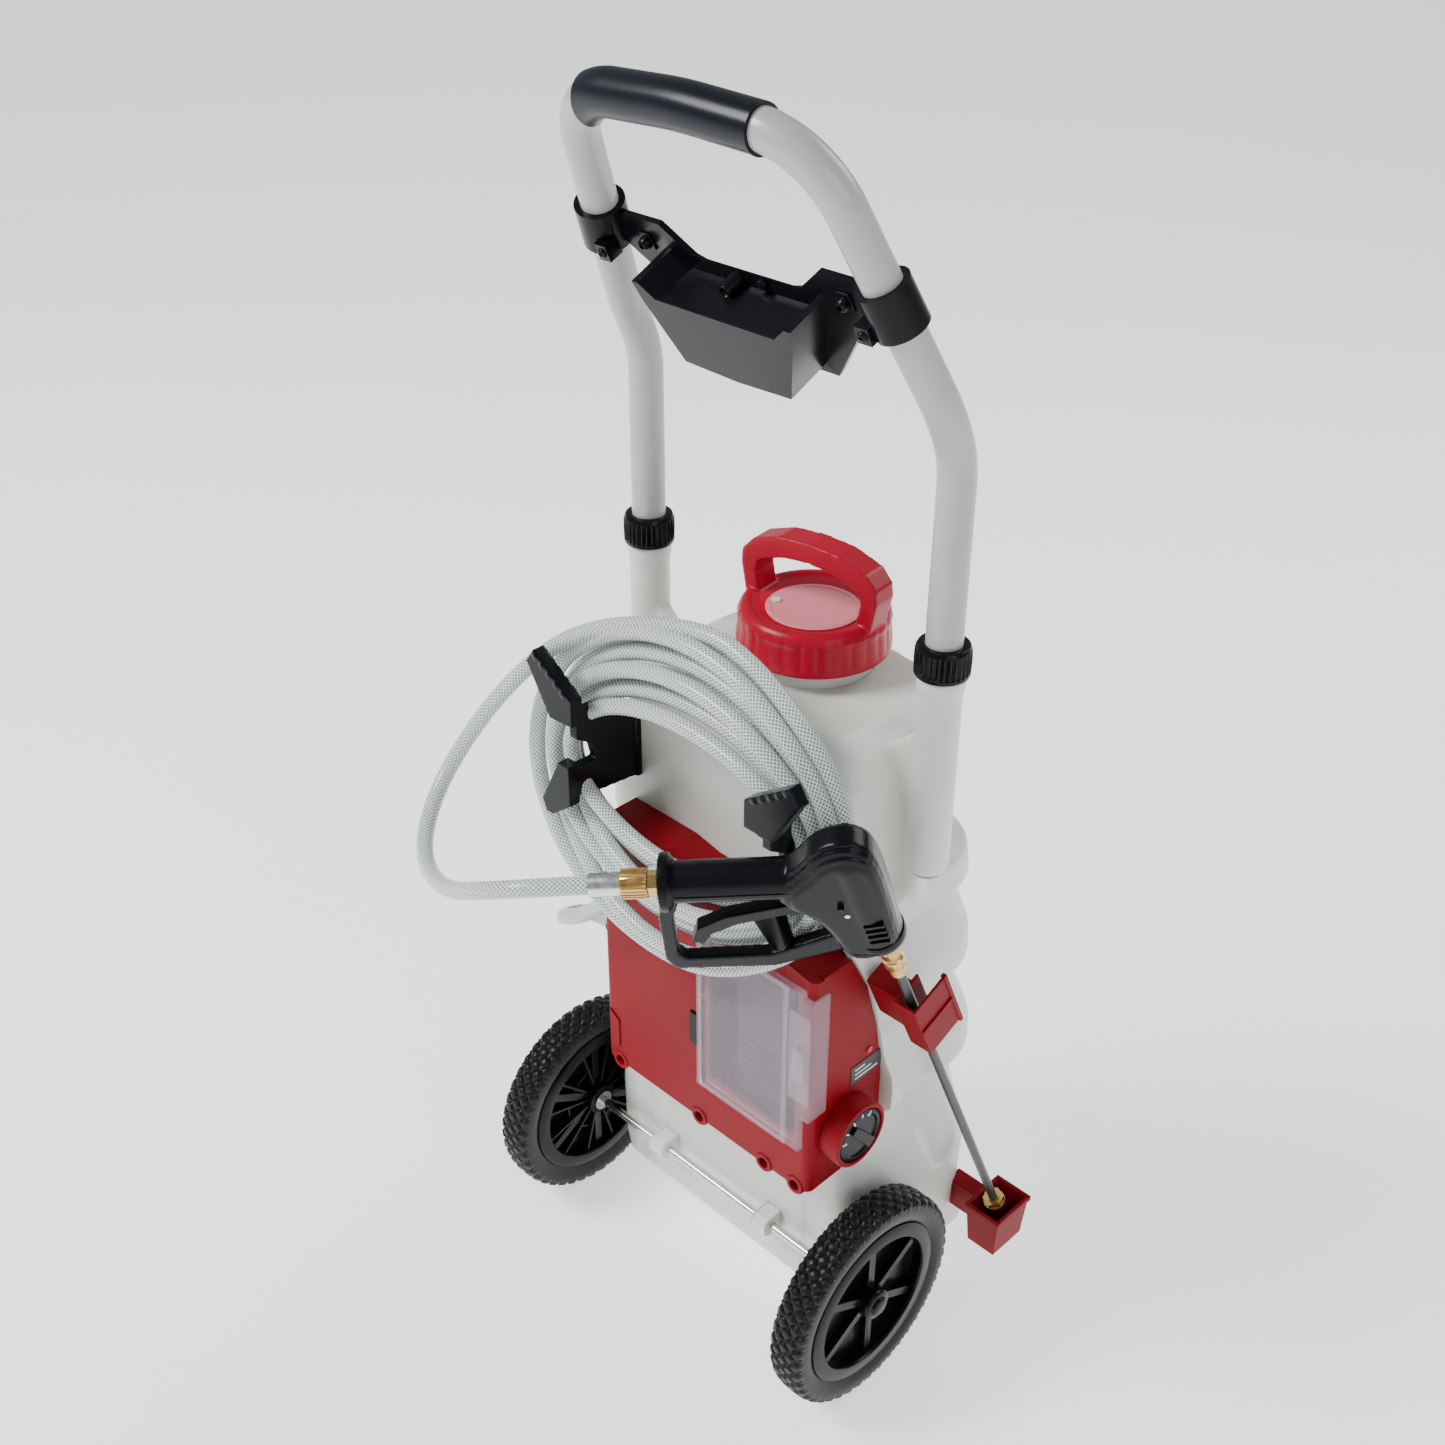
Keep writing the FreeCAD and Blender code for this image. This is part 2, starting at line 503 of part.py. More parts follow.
def battery_door():
    """Clear lid over the battery: pan, left hinge barrel and a flange that laps the cover's corner."""
    y0 = COVER_FRONT - GAP
    pan = box(DOOR_X0 + 4, DOOR_X1, y0 - 6, y0, DOOR_Z0, DOOR_Z1)
    pan = pan.cut(box(DOOR_X0 + 8, DOOR_X1 - 14, y0 - 4, y0 + 1, DOOR_Z0 + 4, DOOR_Z1 - 4))
    flange = box(DOOR_X1 - 6, COVER_X1 + 3, y0 - 6, y0, 300, DOOR_Z1 - 6)
    flange = flange.fuse(box(COVER_X1 + GAP, COVER_X1 + 3, y0 - 6, COVER_FRONT + 16, 300, DOOR_Z1 - 6))
    hinge_y = y0 - 3.0
    barrel = rod(3.2, (DOOR_X0 + 2, hinge_y, DOOR_Z0 + 6), (0, 0, 1), DOOR_Z1 - DOOR_Z0 - 12)
    pin_hole = rod(1.5 + RUN_FIT, (DOOR_X0 + 2, hinge_y, DOOR_Z0 - 20), (0, 0, 1), 220)
    keep_node("battery_door", fused([pan, flange, barrel]).cut(pin_hole))
    pin = rod(1.5, (DOOR_X0 + 2, hinge_y, DOOR_Z0 - 1), (0, 0, 1), DOOR_Z1 - DOOR_Z0 + 2)
    keep_node("door_pin", pin)


# ------------------------------------------------------------------ hose hooks
def hose_hook():
    """Right hook: post on the tank's face, a ribbed prong up and outwards and a plain tongue below."""
    x0, x1 = HOOK_POST_X
    post = prism([(TANK_FRONT, 503), (TANK_FRONT, 562), (-30, 590), (-56, 594), (-56, 566), (-40, 556),
                  (-36, 540), (-56, 540), (-62, 516), (-40, 508)], x0, x1, SIDE_PROFILE)
    foot = box(x0 - 2, x1 + 11, 7, TANK_FRONT, 503, 562)
    prong = prism([(x0 - 8, 586), (x0 - 8, 610), (139, 640), (148, 627), (122, 584)], 56, 68, FRONT_PROFILE)
    ribs = [prism([(x, z), (x + 3, z + 2), (x + 4.5, z - 1), (x + 1.5, z - 3)], 55, 69, FRONT_PROFILE)
            for x, z in ((102 + 8 * i, 614 + 5.45 * i) for i in range(5))]
    tongue_face = [(x0, 506), (x0, 544), (x1 + 4, 544), (139, 499), (134, 487), (126, 488)]
    tongue = prism(tongue_face, 56, 67, FRONT_PROFILE)
    hook = fused([post, foot, prong, tongue] + ribs)
    for z in HOOK_SCREW_Z:
        hook = hook.cut(rod(2.2, (x1 + 6, 0, z), (0, 1, 0), 20))
    return hook


def hook_pair():
    hook = hose_hook()
    keep_node("hose_hook_right", hook.cut(guard_groove()))
    keep_node("hose_hook_left", mirrored(hook))
    screws = []
    for z in HOOK_SCREW_Z:
        head = rod(4.2, (HOOK_POST_X[1] + 6, 4.5, z), (0, 1, 0), 2.5)
        screw = head.fuse(rod(2.2, (HOOK_POST_X[1] + 6, 6, z), (0, 1, 0), TANK_FRONT - 6))
        screws += [screw, mirrored(screw)]
    keep_node("hook_screws", Part.makeCompound(screws))


# ------------------------------------------------------------- hose, gun, lance
def coil_solid():
    """Closed ring that the hose's turns fill, leaning forward at its foot."""
    lean = math.radians(COIL_LEAN)
    up, front = (0, math.sin(lean), math.cos(lean)), (0, -math.cos(lean), math.sin(lean))
    place = axes(COIL_CENTRE, (1, 0, 0), up, front)
    ellipse = Part.Face(Part.Wire(Part.Ellipse(V(), *COIL_OUT).toShape()))
    disc = ellipse.extrude(V(0, 0, 2 * COIL_HALF_DEPTH))
    x0, x1, v0, v1 = COIL_HOLE
    hole = rounded(box(x0, x1, v0, v1, -1, 90), 12.0, along((0, 0, 1)))
    ring_solid = disc.cut(hole)
    ring_solid.translate(V(0, 0, -COIL_HALF_DEPTH))
    return placed(ring_solid, place)


def grip_point(t):
    return tuple(GRIP.multVec(V(0, 0, t)))


def guard_groove():
    """Room for the gun's trigger guard, with clearance at its sides."""
    return prism(GUARD_OUTLINE, -7, 7, GUN)


def hose():
    hook = hose_hook()
    coil = coil_solid().cut(guard_groove()).cut(hook).cut(mirrored(hook))
    keep_node("hose_coil", coil)
    supply = swept(route_wire(SUPPLY_ROUTE, largest_bends(SUPPLY_ROUTE)), HOSE_D / 2)
    keep_node("hose_supply", supply.cut(coil))
    route = FREE_ROUTE + [grip_point(HOSE_END_T + 30), grip_point(HOSE_END_T)]
    free = swept(route_wire(route, largest_bends(route)), HOSE_D / 2)
    keep_node("hose_free", free.cut(coil).cut(mirrored(hook)))


def grip_turned(radius, t0, t1):
    return placed(rod(radius, (0, 0, t0), (0, 0, 1), t1 - t0), GRIP)


def lance_turned(radius, u0, u1):
    return placed(rod(radius, (u0, 0, 0), (1, 0, 0), u1 - u0), GUN)


def hexagon(across, start, length):
    corners = [(across / math.sqrt(3) * math.cos(math.radians(60 * k)),
                across / math.sqrt(3) * math.sin(math.radians(60 * k))) for k in range(6)]
    points = [V(x, y, start) for x, y in corners]
    return Part.Face(Part.makePolygon(points + points[:1])).extrude(V(0, 0, length))


def spray_gun():
    head = placed(rod(19, (-46, 2, 0), (1, 0, 0), 104).fuse(Part.makeSphere(19, V(-46, 2, 0))), GUN)
    grip = grip_turned(15.5, 0, 138)
    flange = grip_turned(21, 134, 140)
    guard = prism(GUARD_OUTLINE, -5.5, 5.5, GUN)
    slot = placed(box(-16, 26, 6, 60, -7, 7), GUN)
    body = fused([head, grip, flange, guard]).cut(slot)
    tail_hole = grip_turned(5, 120, 150)
    pin_hole = placed(rod(2, (4, 14, -30), (0, 0, 1), 60), GUN)
    outlet_hole = lance_turned(6, 40, 70)
    lock_hole = placed(rod(2.5, (-8, 16, -30), (0, 0, 1), 60), GUN)
    body = body.cut(tail_hole).cut(pin_hole).cut(outlet_hole).cut(lock_hole)
    keep_node("gun_body", body)
    keep_node("trigger_pin", placed(rod(2, (4, 14, -18), (0, 0, 1), 36), GUN))
    keep_node("trigger_lock", placed(rod(2.45, (-8, 16, -21), (0, 0, 1), 42), GUN))
    lever = prism([(-2, 8), (12, 8), (13, 30), (10, 62), (13, 98), (21, 120), (32, 130), (27, 137),
                   (12, 129), (2, 104), (-1, 62), (-3, 24)], -5.5, 5.5, GUN)
    lever = lever.cut(placed(rod(2 + RUN_FIT, (4, 14, -30), (0, 0, 1), 60), GUN))
    keep_node("trigger", lever.cut(placed(rod(2.5 + GAP, (-8, 16, -30), (0, 0, 1), 60), GUN)))
    hose_connection()
    lance()


def hose_connection():
    tail = placed(hexagon(16, 140, 9), GRIP).fuse(grip_turned(5, 121, 141)).fuse(grip_turned(6, 149, 158))
    keep_node("gun_tail", tail.cut(grip_turned(3, 100, 200)))
    nut = grip_turned(11, 149 + GAP, 169).cut(grip_turned(6 + RUN_FIT, 140, 158.3))
    keep_node("swivel_nut", nut.cut(grip_turned(5.2, 150, 180)))
    stem = grip_turned(5.1, 158.4, 171).fuse(grip_turned(8.6, 169 + GAP, 192)).cut(grip_turned(3, 140, 200))
    keep_node("hose_ferrule", stem.cut(grip_turned(HOSE_D / 2, HOSE_END_T, 210)))


def lance():
    coupler = fused([lance_turned(6, 42, 62), lance_turned(11, 58, 74), lance_turned(8.5, 74, 100),
                     lance_turned(6.5, 100, 112)])
    coupler = coupler.cut(lance_turned(LANCE_R, LANCE_U0, 130)).cut(lance_turned(2.5, 30, 130))
    keep_node("gun_coupler", coupler)
    bore_r = LANCE_R - 1.0
    keep_node("lance_tube", lance_turned(LANCE_R, LANCE_U0, LANCE_U1).cut(lance_turned(bore_r, 90, 530)))
    body = lance_turned(LANCE_R + RUN_FIT + 1.5, LANCE_U1 - 10, LANCE_U1 + 14)
    body = body.cut(lance_turned(LANCE_R, LANCE_U1 - 12, LANCE_U1)).cut(lance_turned(1.5, 500, 560))
    keep_node("nozzle_body", body)
    along_lance = GUN.multiply(axes((0, 0, 0), (0, 1, 0), (0, 0, 1), (1, 0, 0)))
    collar = lance_turned(10, LANCE_U1 - 2, LANCE_U1 + 6)
    cap = placed(hexagon(17, LANCE_U1 - 8, 26), along_lance).fuse(collar)
    cap = cap.cut(lance_turned(LANCE_R + 2 * RUN_FIT + 1.5, LANCE_U1 - 12, LANCE_U1 + 14.3))
    keep_node("nozzle_cap", cap.cut(lance_turned(0.8, 500, 560)))


def clip_frame():
    """u runs down the lance, v square to it towards the back, w to the right."""
    lean = math.radians(LANCE_LEAN)
    down = (0, math.sin(lean), -math.cos(lean))
    back = (0, math.cos(lean), math.sin(lean))
    return axes(GUN_ORIGIN, down, back, (1, 0, 0))


def lance_holders():
    """Channel clip for the lance's neck and a cup for the nozzle."""
    place = clip_frame()
    u0, u1 = 150.0, 214.0
    out, wall = 10.0, 2.6
    plates = [box(u0, u1, -10, 30, out, out + wall), box(u0, u1, -10, -10 + wall, -9, out + wall),
              box(u0, u1, -10, 20, -9, -9 + wall), box(u0 + 8, u1 - 8, -4, 16, 146 - 190, -9)]
    clip = fused([placed(p, place) for p in plates])
    cup_x0, cup_x1, cup_y0, cup_y1, cup_z0, cup_z1 = 174.0, 210.0, 152.0, 200.0, 46.0, 92.0
    outer = tapered_cup(cup_x0, cup_x1, cup_y0, cup_y1, cup_z0, cup_z1, 0.0)
    inner = tapered_cup(cup_x0, cup_x1, cup_y0, cup_y1, cup_z0 + 2.6, cup_z1 + 1, 2.6)
    arm = box(139, cup_x0 + 6, 168, 186, 58, 88)
    cup = fused([outer, arm]).cut(inner)
    outer = tank_outer()
    keep_node("lance_clip", clip.cut(outer))
    keep_node("lance_cup", cup.cut(outer))


def tapered_cup(x0, x1, y0, y1, z0, z1, inset):
    def outline(z, shrink):
        a, b = x0 + shrink, x1 - shrink
        c, d = y0 + shrink, y1 - shrink
        points = [V(a, c, z), V(b, c, z), V(b, d, z), V(a, d, z)]
        return Part.makePolygon(points + points[:1])
    return Part.makeLoft([outline(z0, inset + 3), outline(z1, inset)], True, True)


def main():
    os.makedirs("parts", exist_ok=True)
    running_gear()
    keep_node("tank_shell", tank_shell())
    filling_neck()
    telescopic_handle()
    twist_collars()
    pump_unit()
    hook_pair()
    hose()
    spray_gun()
    lance_holders()
    print("cord radius mm", HOSE_D / 2)


main()
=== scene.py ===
"""Looks of the wheeled battery sprayer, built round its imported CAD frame.

Sizes are in millimetres from the part's datum, which is on the floor under the
middle of the axle; at() and the mesh makers turn them into the frame's metres.
"""
import json
import math
import random

import bmesh
import bpy
from mathutils import Matrix, Vector


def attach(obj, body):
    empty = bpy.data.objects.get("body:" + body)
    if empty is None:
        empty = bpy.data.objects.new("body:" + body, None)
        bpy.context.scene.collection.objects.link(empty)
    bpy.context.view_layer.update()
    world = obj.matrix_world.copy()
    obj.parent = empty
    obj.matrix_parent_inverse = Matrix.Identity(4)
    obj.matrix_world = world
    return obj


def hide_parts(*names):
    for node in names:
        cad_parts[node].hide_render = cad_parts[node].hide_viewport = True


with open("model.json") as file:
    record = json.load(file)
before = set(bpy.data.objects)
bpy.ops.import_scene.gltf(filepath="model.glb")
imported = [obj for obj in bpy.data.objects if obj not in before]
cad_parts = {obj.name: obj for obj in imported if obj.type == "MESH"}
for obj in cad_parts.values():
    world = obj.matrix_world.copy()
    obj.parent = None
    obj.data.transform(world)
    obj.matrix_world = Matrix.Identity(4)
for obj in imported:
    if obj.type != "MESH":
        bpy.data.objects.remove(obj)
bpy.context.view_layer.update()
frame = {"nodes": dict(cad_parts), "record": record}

random.seed(7)

DATUM = Vector((-5.0, -22.0, 0.0))
MM = 0.001
TO_FRAME = Matrix.Scale(MM, 4) @ Matrix.Translation(DATUM)


def at(x, y, z):
    """A point given in the datum's millimetres, in the frame's metres."""
    return (Vector((x, y, z)) + DATUM) * MM


def axes(origin, u, v, w):
    """Placement whose columns are the three axes and the origin."""
    place = Matrix.Identity(4)
    for column, vector in enumerate((u, v, w, origin)):
        for row in range(3):
            place[row][column] = vector[row]
    return place


def facing_x(x=0.0, y=0.0, z=0.0):
    """Placement at a point, with u along +y, v along +z and w along +x."""
    return axes((x, y, z), (0, 1, 0), (0, 0, 1), (1, 0, 0))


def sin_cos(degrees):
    """Sine and cosine of an angle in degrees."""
    return math.sin(math.radians(degrees)), math.cos(math.radians(degrees))


# --------------------------------------------------------------- driving sizes, in millimetres and degrees
WHEEL_R, WHEEL_X, WHEEL_W = 100.0, 177.0, 34.0
TUBE_X, TUBE_Y = 155.5, 75.6
KINK_Z, HOOP_LEAN = 850.0, 26.0
COLLAR_Z, LID_Z = 682.0, 633.0
HOSE_D = 14.0
LANCE_LEAN, GUN_TURN, HANDLE_SLOPE = 24.42, 40.4, 10.2
GUN_ORIGIN = Vector((190.0, -41.3, 565.3))

_s, _c = sin_cos(HOOP_LEAN)
HOOP = axes((0, TUBE_Y, KINK_Z), (1, 0, 0), (0, -_s, _c), (0, -_c, -_s))
_s, _c = sin_cos(LANCE_LEAN)
_down, _level = Vector((0, _s, -_c)), Vector((0, -_c, -_s))
_s, _c = sin_cos(GUN_TURN)
_butt = Vector((-_c, 0, 0)) + _level * _s
GUN = axes(GUN_ORIGIN, _down, _butt, _down.cross(_butt))
_s, _c = sin_cos(HANDLE_SLOPE)
GRIP = GUN @ axes((-20, 0, 0), (_c, _s, 0), (0, 0, 1), (-_s, _c, 0))
CLIP = axes(GUN_ORIGIN, _down, -_level, (1, 0, 0))
SIDE = facing_x()
FRONT = axes((0, 0, 0), (1, 0, 0), (0, 0, 1), (0, -1, 0))


# -------------------------------------------------------------------- materials
def shader(name, colour, roughness, metallic=0.0, **sockets):
    """A Principled material; keyword names are its socket names with underscores."""
    material = bpy.data.materials.new(name)
    material.use_nodes = True
    nodes = material.node_tree.nodes
    surface = nodes["Principled BSDF"]
    surface.inputs["Base Color"].default_value = (*colour, 1)
    surface.inputs["Roughness"].default_value = roughness
    surface.inputs["Metallic"].default_value = metallic
    for socket, value in sockets.items():
        surface.inputs[socket.replace("_", " ")].default_value = value
    return material


def link(material, start, start_socket, end, end_socket):
    """Joins one node's output to another's input."""
    material.node_tree.links.new(start.outputs[start_socket], end.inputs[end_socket])


def add_node(material, kind, **values):
    """A new node; a keyword sets the input of that name, or else the node's own property."""
    node = material.node_tree.nodes.new(kind)
    for name, value in values.items():
        if name in node.inputs:
            node.inputs[name].default_value = value
        else:
            setattr(node, name, value)
    return node


def noise(material, scale, detail=4.0):
    """A noise texture on the object's own coordinates."""
    where = add_node(material, "ShaderNodeTexCoord")
    pattern = add_node(material, "ShaderNodeTexNoise", Scale=scale, Detail=detail)
    link(material, where, "Object", pattern, "Vector")
    return pattern


def vary(material, scale, dark, light, roughness_range=None):
    """Cloudy change of colour, and of roughness, over the surface."""
    surface = material.node_tree.nodes["Principled BSDF"]
    pattern = noise(material, scale)
    ramp = add_node(material, "ShaderNodeValToRGB")
    ramp.color_ramp.elements[0].position, ramp.color_ramp.elements[1].position = 0.3, 0.7
    ramp.color_ramp.elements[0].color = (*dark, 1)
    ramp.color_ramp.elements[1].color = (*light, 1)
    link(material, pattern, "Fac", ramp, "Fac")
    link(material, ramp, "Color", surface, "Base Color")
    if roughness_range:
        spread = add_node(material, "ShaderNodeMapRange")
        spread.inputs["From Min"].default_value, spread.inputs["From Max"].default_value = 0.3, 0.7
        spread.inputs["To Min"].default_value, spread.inputs["To Max"].default_value = roughness_range
        link(material, pattern, "Fac", spread, "Value")
        link(material, spread, "Result", surface, "Roughness")


def grain(material, scale, height, strength=0.4):
    """Fine moulded texture as bump; height is in metres."""
    pattern = noise(material, scale, detail=3.0)
    bump = add_node(material, "ShaderNodeBump", Strength=strength, Distance=height)
    link(material, pattern, "Fac", bump, "Height")
    link(material, bump, "Normal", material.node_tree.nodes["Principled BSDF"], "Normal")


def plastic(name, colour, roughness, spread=0.15, scale=900.0, height=0.00012, **sockets):
    """Moulded plastic or paint: cloudy by a share of its colour, with a fine grain."""
    material = shader(name, colour, roughness, **sockets)
    dark = [c * (1 - spread) for c in colour]
    light = [min(1.0, c * (1 + spread)) for c in colour]
    vary(material, 9.0, dark, light, (roughness * 0.85, min(1.0, roughness * 1.15)))
    grain(material, scale, height)
    return material


def metal(name, colour, roughness):
    """Bare metal, a little cloudy in colour and in polish."""
    material = shader(name, colour, roughness, 1.0)
    vary(material, 140.0, [c * 0.85 for c in colour], colour, (roughness * 0.75, roughness * 1.3))
    grain(material, 1800.0, 0.00002, 0.12)
    return material


BRAID_PITCH, BRAID_THREADS = 0.0038, 12.0


def braided_hose():
    """Clear hose with a white braid: two sets of crossing threads along the UV's length."""
    material = shader("hose_braid", (0.86, 0.9, 0.9), 0.16, Transmission_Weight=0.35, IOR=1.45)
    surface = material.node_tree.nodes["Principled BSDF"]
    where = add_node(material, "ShaderNodeTexCoord")
    split = add_node(material, "ShaderNodeSeparateXYZ")
    link(material, where, "UV", split, "Vector")
    threads = []
    for direction in (1, -1):
        lengthwise = add_node(material, "ShaderNodeMath", operation="MULTIPLY")
        lengthwise.inputs[1].default_value = 1 / BRAID_PITCH
        around = add_node(material, "ShaderNodeMath", operation="MULTIPLY_ADD")
        around.inputs[1].default_value = BRAID_THREADS * direction
        link(material, split, "X", lengthwise, 0)
        link(material, split, "Y", around, 0)
        link(material, lengthwise, "Value", around, 2)
        wave = add_node(material, "ShaderNodeMath", operation="PINGPONG")
        wave.inputs[1].default_value = 0.5
        link(material, around, "Value", wave, 0)
        thread = add_node(material, "ShaderNodeMapRange", interpolation_type="SMOOTHSTEP")
        thread.inputs["From Min"].default_value, thread.inputs["From Max"].default_value = 0.1, 0.2
        thread.inputs["To Min"].default_value, thread.inputs["To Max"].default_value = 1.0, 0.0
        link(material, wave, "Value", thread, "Value")
        threads.append(thread)
    both = add_node(material, "ShaderNodeMath", operation="MAXIMUM")
    link(material, threads[0], "Result", both, 0)
    link(material, threads[1], "Result", both, 1)
    mix = add_node(material, "ShaderNodeMix", data_type="RGBA")
    mix.inputs[6].default_value = (0.34, 0.44, 0.41, 1)
    mix.inputs[7].default_value = (0.90, 0.93, 0.92, 1)
    link(material, both, "Value", mix, 0)
    material.node_tree.links.new(mix.outputs[2], surface.inputs["Base Color"])
    clear = add_node(material, "ShaderNodeMapRange")
    clear.inputs["To Min"].default_value, clear.inputs["To Max"].default_value = 0.45, 0.08
    link(material, both, "Value", clear, "Value")
    link(material, clear, "Result", surface, "Transmission Weight")
    bump = add_node(material, "ShaderNodeBump", Strength=0.35, Distance=0.0003)
    link(material, both, "Value", bump, "Height")
    link(material, bump, "Normal", surface, "Normal")
    return material


def milky_tank():
    """Blow-moulded polyethylene: milky, a little green where it is thick."""
    colour = (0.82, 0.84, 0.80)
    material = shader("milky_tank", colour, 0.34, Subsurface_Weight=0.3, Subsurface_Scale=0.012)
    material.node_tree.nodes["Principled BSDF"].inputs["Subsurface Radius"].default_value = (1.0, 1.0, 0.85)
    vary(material, 5.0, (0.68, 0.71, 0.63), (0.79, 0.81, 0.75), (0.28, 0.42))
    grain(material, 260.0, 0.0002, 0.25)
    return material


MATERIALS = {
    "tank": milky_tank(),
    "clip_white": plastic("clip_white", (0.80, 0.81, 0.78), 0.35, 0.05),
    "steel": metal("steel", (0.66, 0.66, 0.67), 0.22),
    "tyre": plastic("tyre_rubber", (0.007, 0.0075, 0.009), 0.36, 0.3, 700.0, 0.0002, Specular_IOR_Level=0.22),
    "black_plastic": plastic("black_plastic", (0.0035, 0.004, 0.0055), 0.24, 0.25, Specular_IOR_Level=0.16),
    "grip": plastic("grip_rubber", (0.005, 0.007, 0.012), 0.3, 0.2, 1200.0, 0.0001, Specular_IOR_Level=0.22),
    "tube_paint": plastic("tube_paint", (0.44, 0.43, 0.41), 0.34, 0.04, 600.0, 0.00003, Coat_Weight=0.25),
    "lid_red": plastic("lid_red", (0.40, 0.003, 0.022), 0.3, 0.1, 700.0, 0.00008, Specular_IOR_Level=0.2),
    "cover_red": plastic("cover_red", (0.23, 0.0015, 0.007), 0.48, 0.12, 1500.0, 0.0003,
                         Specular_IOR_Level=0.14),
    "seal": plastic("seal", (0.03, 0.03, 0.03), 0.6),
    "pale_plastic": plastic("pale_plastic", (0.7, 0.7, 0.66), 0.4, 0.05),
    "battery_case": plastic("battery_case", (0.022, 0.007, 0.018), 0.4, 0.4, Specular_IOR_Level=0.25),
    "door_clear": plastic("door_clear", (0.66, 0.56, 0.64), 0.22, 0.04, 500.0, 0.00015, Alpha=0.17),
    "label": plastic("label", (0.02, 0.02, 0.02), 0.4),
    "button_red": plastic("button_red", (0.5, 0.02, 0.04), 0.25),
    "hose": braided_hose(),
    "ferrule": metal("ferrule", (0.78, 0.78, 0.79), 0.28),
    "brass": metal("brass", (0.74, 0.47, 0.17), 0.27),
    "lance": plastic("lance_paint", (0.06, 0.062, 0.066), 0.35, 0.1, Metallic=0.6),
    "pale_red": plastic("pale_red", (0.72, 0.22, 0.26), 0.4, 0.05),
    "white_print": plastic("white_print", (0.8, 0.8, 0.8), 0.5, 0.03),
}


# ----------------------------------------------------------------- mesh makers
SHARP_ANGLE = 35.0


def finish_piece(name, mesh, material, body, replaced=(), bevel=0.0, smooth_angle=40.0):
    """Names, paints, rounds and mounts a mesh that is already in the frame's metres."""
    piece = bpy.data.objects.new(name, mesh)
    bpy.context.scene.collection.objects.link(piece)
    mesh.materials.append(MATERIALS[material])
    if bevel:
        rounding = piece.modifiers.new("rounding", "BEVEL")
        rounding.width, rounding.segments = bevel * MM, 2
        rounding.limit_method, rounding.angle_limit = "ANGLE", math.radians(SHARP_ANGLE)
        rounding.harden_normals = True
    mesh.shade_smooth()
    mesh.set_sharp_from_angle(angle=math.radians(smooth_angle))
    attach(piece, body)
    if replaced:
        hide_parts(*replaced)
    return piece


def from_bmesh(name, mesh_in_mm, material, body, **options):
    """Moves a bmesh drawn in datum millimetres into the frame and finishes it."""
    mesh_in_mm.transform(TO_FRAME)
    bmesh.ops.recalc_face_normals(mesh_in_mm, faces=mesh_in_mm.faces[:])
    mesh = bpy.data.meshes.new(name)
    mesh_in_mm.to_mesh(mesh)
    mesh_in_mm.free()
    finish_piece(name, mesh, material, body, **options)


def softened(node, material, body, bevel):
    """A copy of a CAD node with its flat faces joined and its edges rounded."""
    copy = bmesh.new()
    copy.from_mesh(frame["nodes"][node].data)
    bmesh.ops.remove_doubles(copy, verts=copy.verts[:], dist=1e-6)
    bmesh.ops.dissolve_limit(copy, angle_limit=math.radians(1.0), verts=copy.verts[:], edges=copy.edges[:])
    mesh = bpy.data.meshes.new(node + "_skin")
    copy.to_mesh(mesh)
    copy.free()
    finish_piece(node + "_skin", mesh, material, body, replaced=(node,), bevel=bevel)


def repaint(node, material):
    """Gives a CAD node that stays as it is one of the scene's materials."""
    mesh = frame["nodes"][node].data
    mesh.materials.clear()
    mesh.materials.append(MATERIALS[material])
    mesh.shade_smooth()
    mesh.set_sharp_from_angle(angle=math.radians(SHARP_ANGLE))


# ------------------------------------------------------- shapes in millimetres
def skin_rings(into, rings):
    """Skins rings of equal length one to the next and caps both ends."""
    for near, far in zip(rings, rings[1:]):
        for k in range(len(near)):
            into.faces.new((near[k - 1], near[k], far[k], far[k - 1]))
    into.faces.new(rings[0][::-1])
    into.faces.new(rings[-1])


def prism(into, points, low, high, place):
    """Adds a polygon in a placement's (u, v) plane, raised from low to high."""
    skin_rings(into, [[into.verts.new(place @ Vector((u, v, w))) for u, v in points] for w in (low, high)])


def block(into, x0, x1, y0, y1, z0, z1, place=Matrix()):
    """Adds a box between two corners of a placement."""
    prism(into, [(x0, y0), (x1, y0), (x1, y1), (x0, y1)], z0, z1, place)


def lathe(into, profile, place, steps=64, wave=None, bored=False):
    """Turns (radius, height) points about a placement's w axis; a bored profile closes on itself.

    wave(angle, radius, height) is added to a point's radius, for flutes and ribs.
    """
    columns = []
    for step in range(steps):
        angle = 2 * math.pi * step / steps
        reach = [radius + (wave(angle, radius, height) if wave else 0.0) for radius, height in profile]
        columns.append([into.verts.new(place @ Vector((r * math.cos(angle), r * math.sin(angle), height)))
                        for r, (_, height) in zip(reach, profile)])
    rows = range(len(profile) if bored else len(profile) - 1)
    for near, far in zip(columns, columns[1:] + columns[:1]):
        for row in rows:
            onward = (row + 1) % len(profile)
            into.faces.new((near[row], near[onward], far[onward], far[row]))
    bmesh.ops.remove_doubles(into, verts=[v for column in columns for v in column], dist=1e-4)


def cad_shape(node):
    """A CAD node's mesh, copied into datum millimetres."""
    shape = bmesh.new()
    shape.from_mesh(frame["nodes"][node].data)
    bmesh.ops.remove_doubles(shape, verts=shape.verts[:], dist=1e-6)
    shape.transform(TO_FRAME.inverted())
    return shape


def loose_object(name, shape):
    """A helper object from a bmesh in datum millimetres; the caller removes it."""
    shape.transform(TO_FRAME)
    bmesh.ops.recalc_face_normals(shape, faces=shape.faces[:])
    mesh = bpy.data.meshes.new(name)
    shape.to_mesh(mesh)
    shape.free()
    holder = bpy.data.objects.new(name, mesh)
    bpy.context.scene.collection.objects.link(holder)
    return holder


def drop(holder):
    """Removes a helper object and its mesh."""
    mesh = holder.data
    bpy.data.objects.remove(holder)
    bpy.data.meshes.remove(mesh)


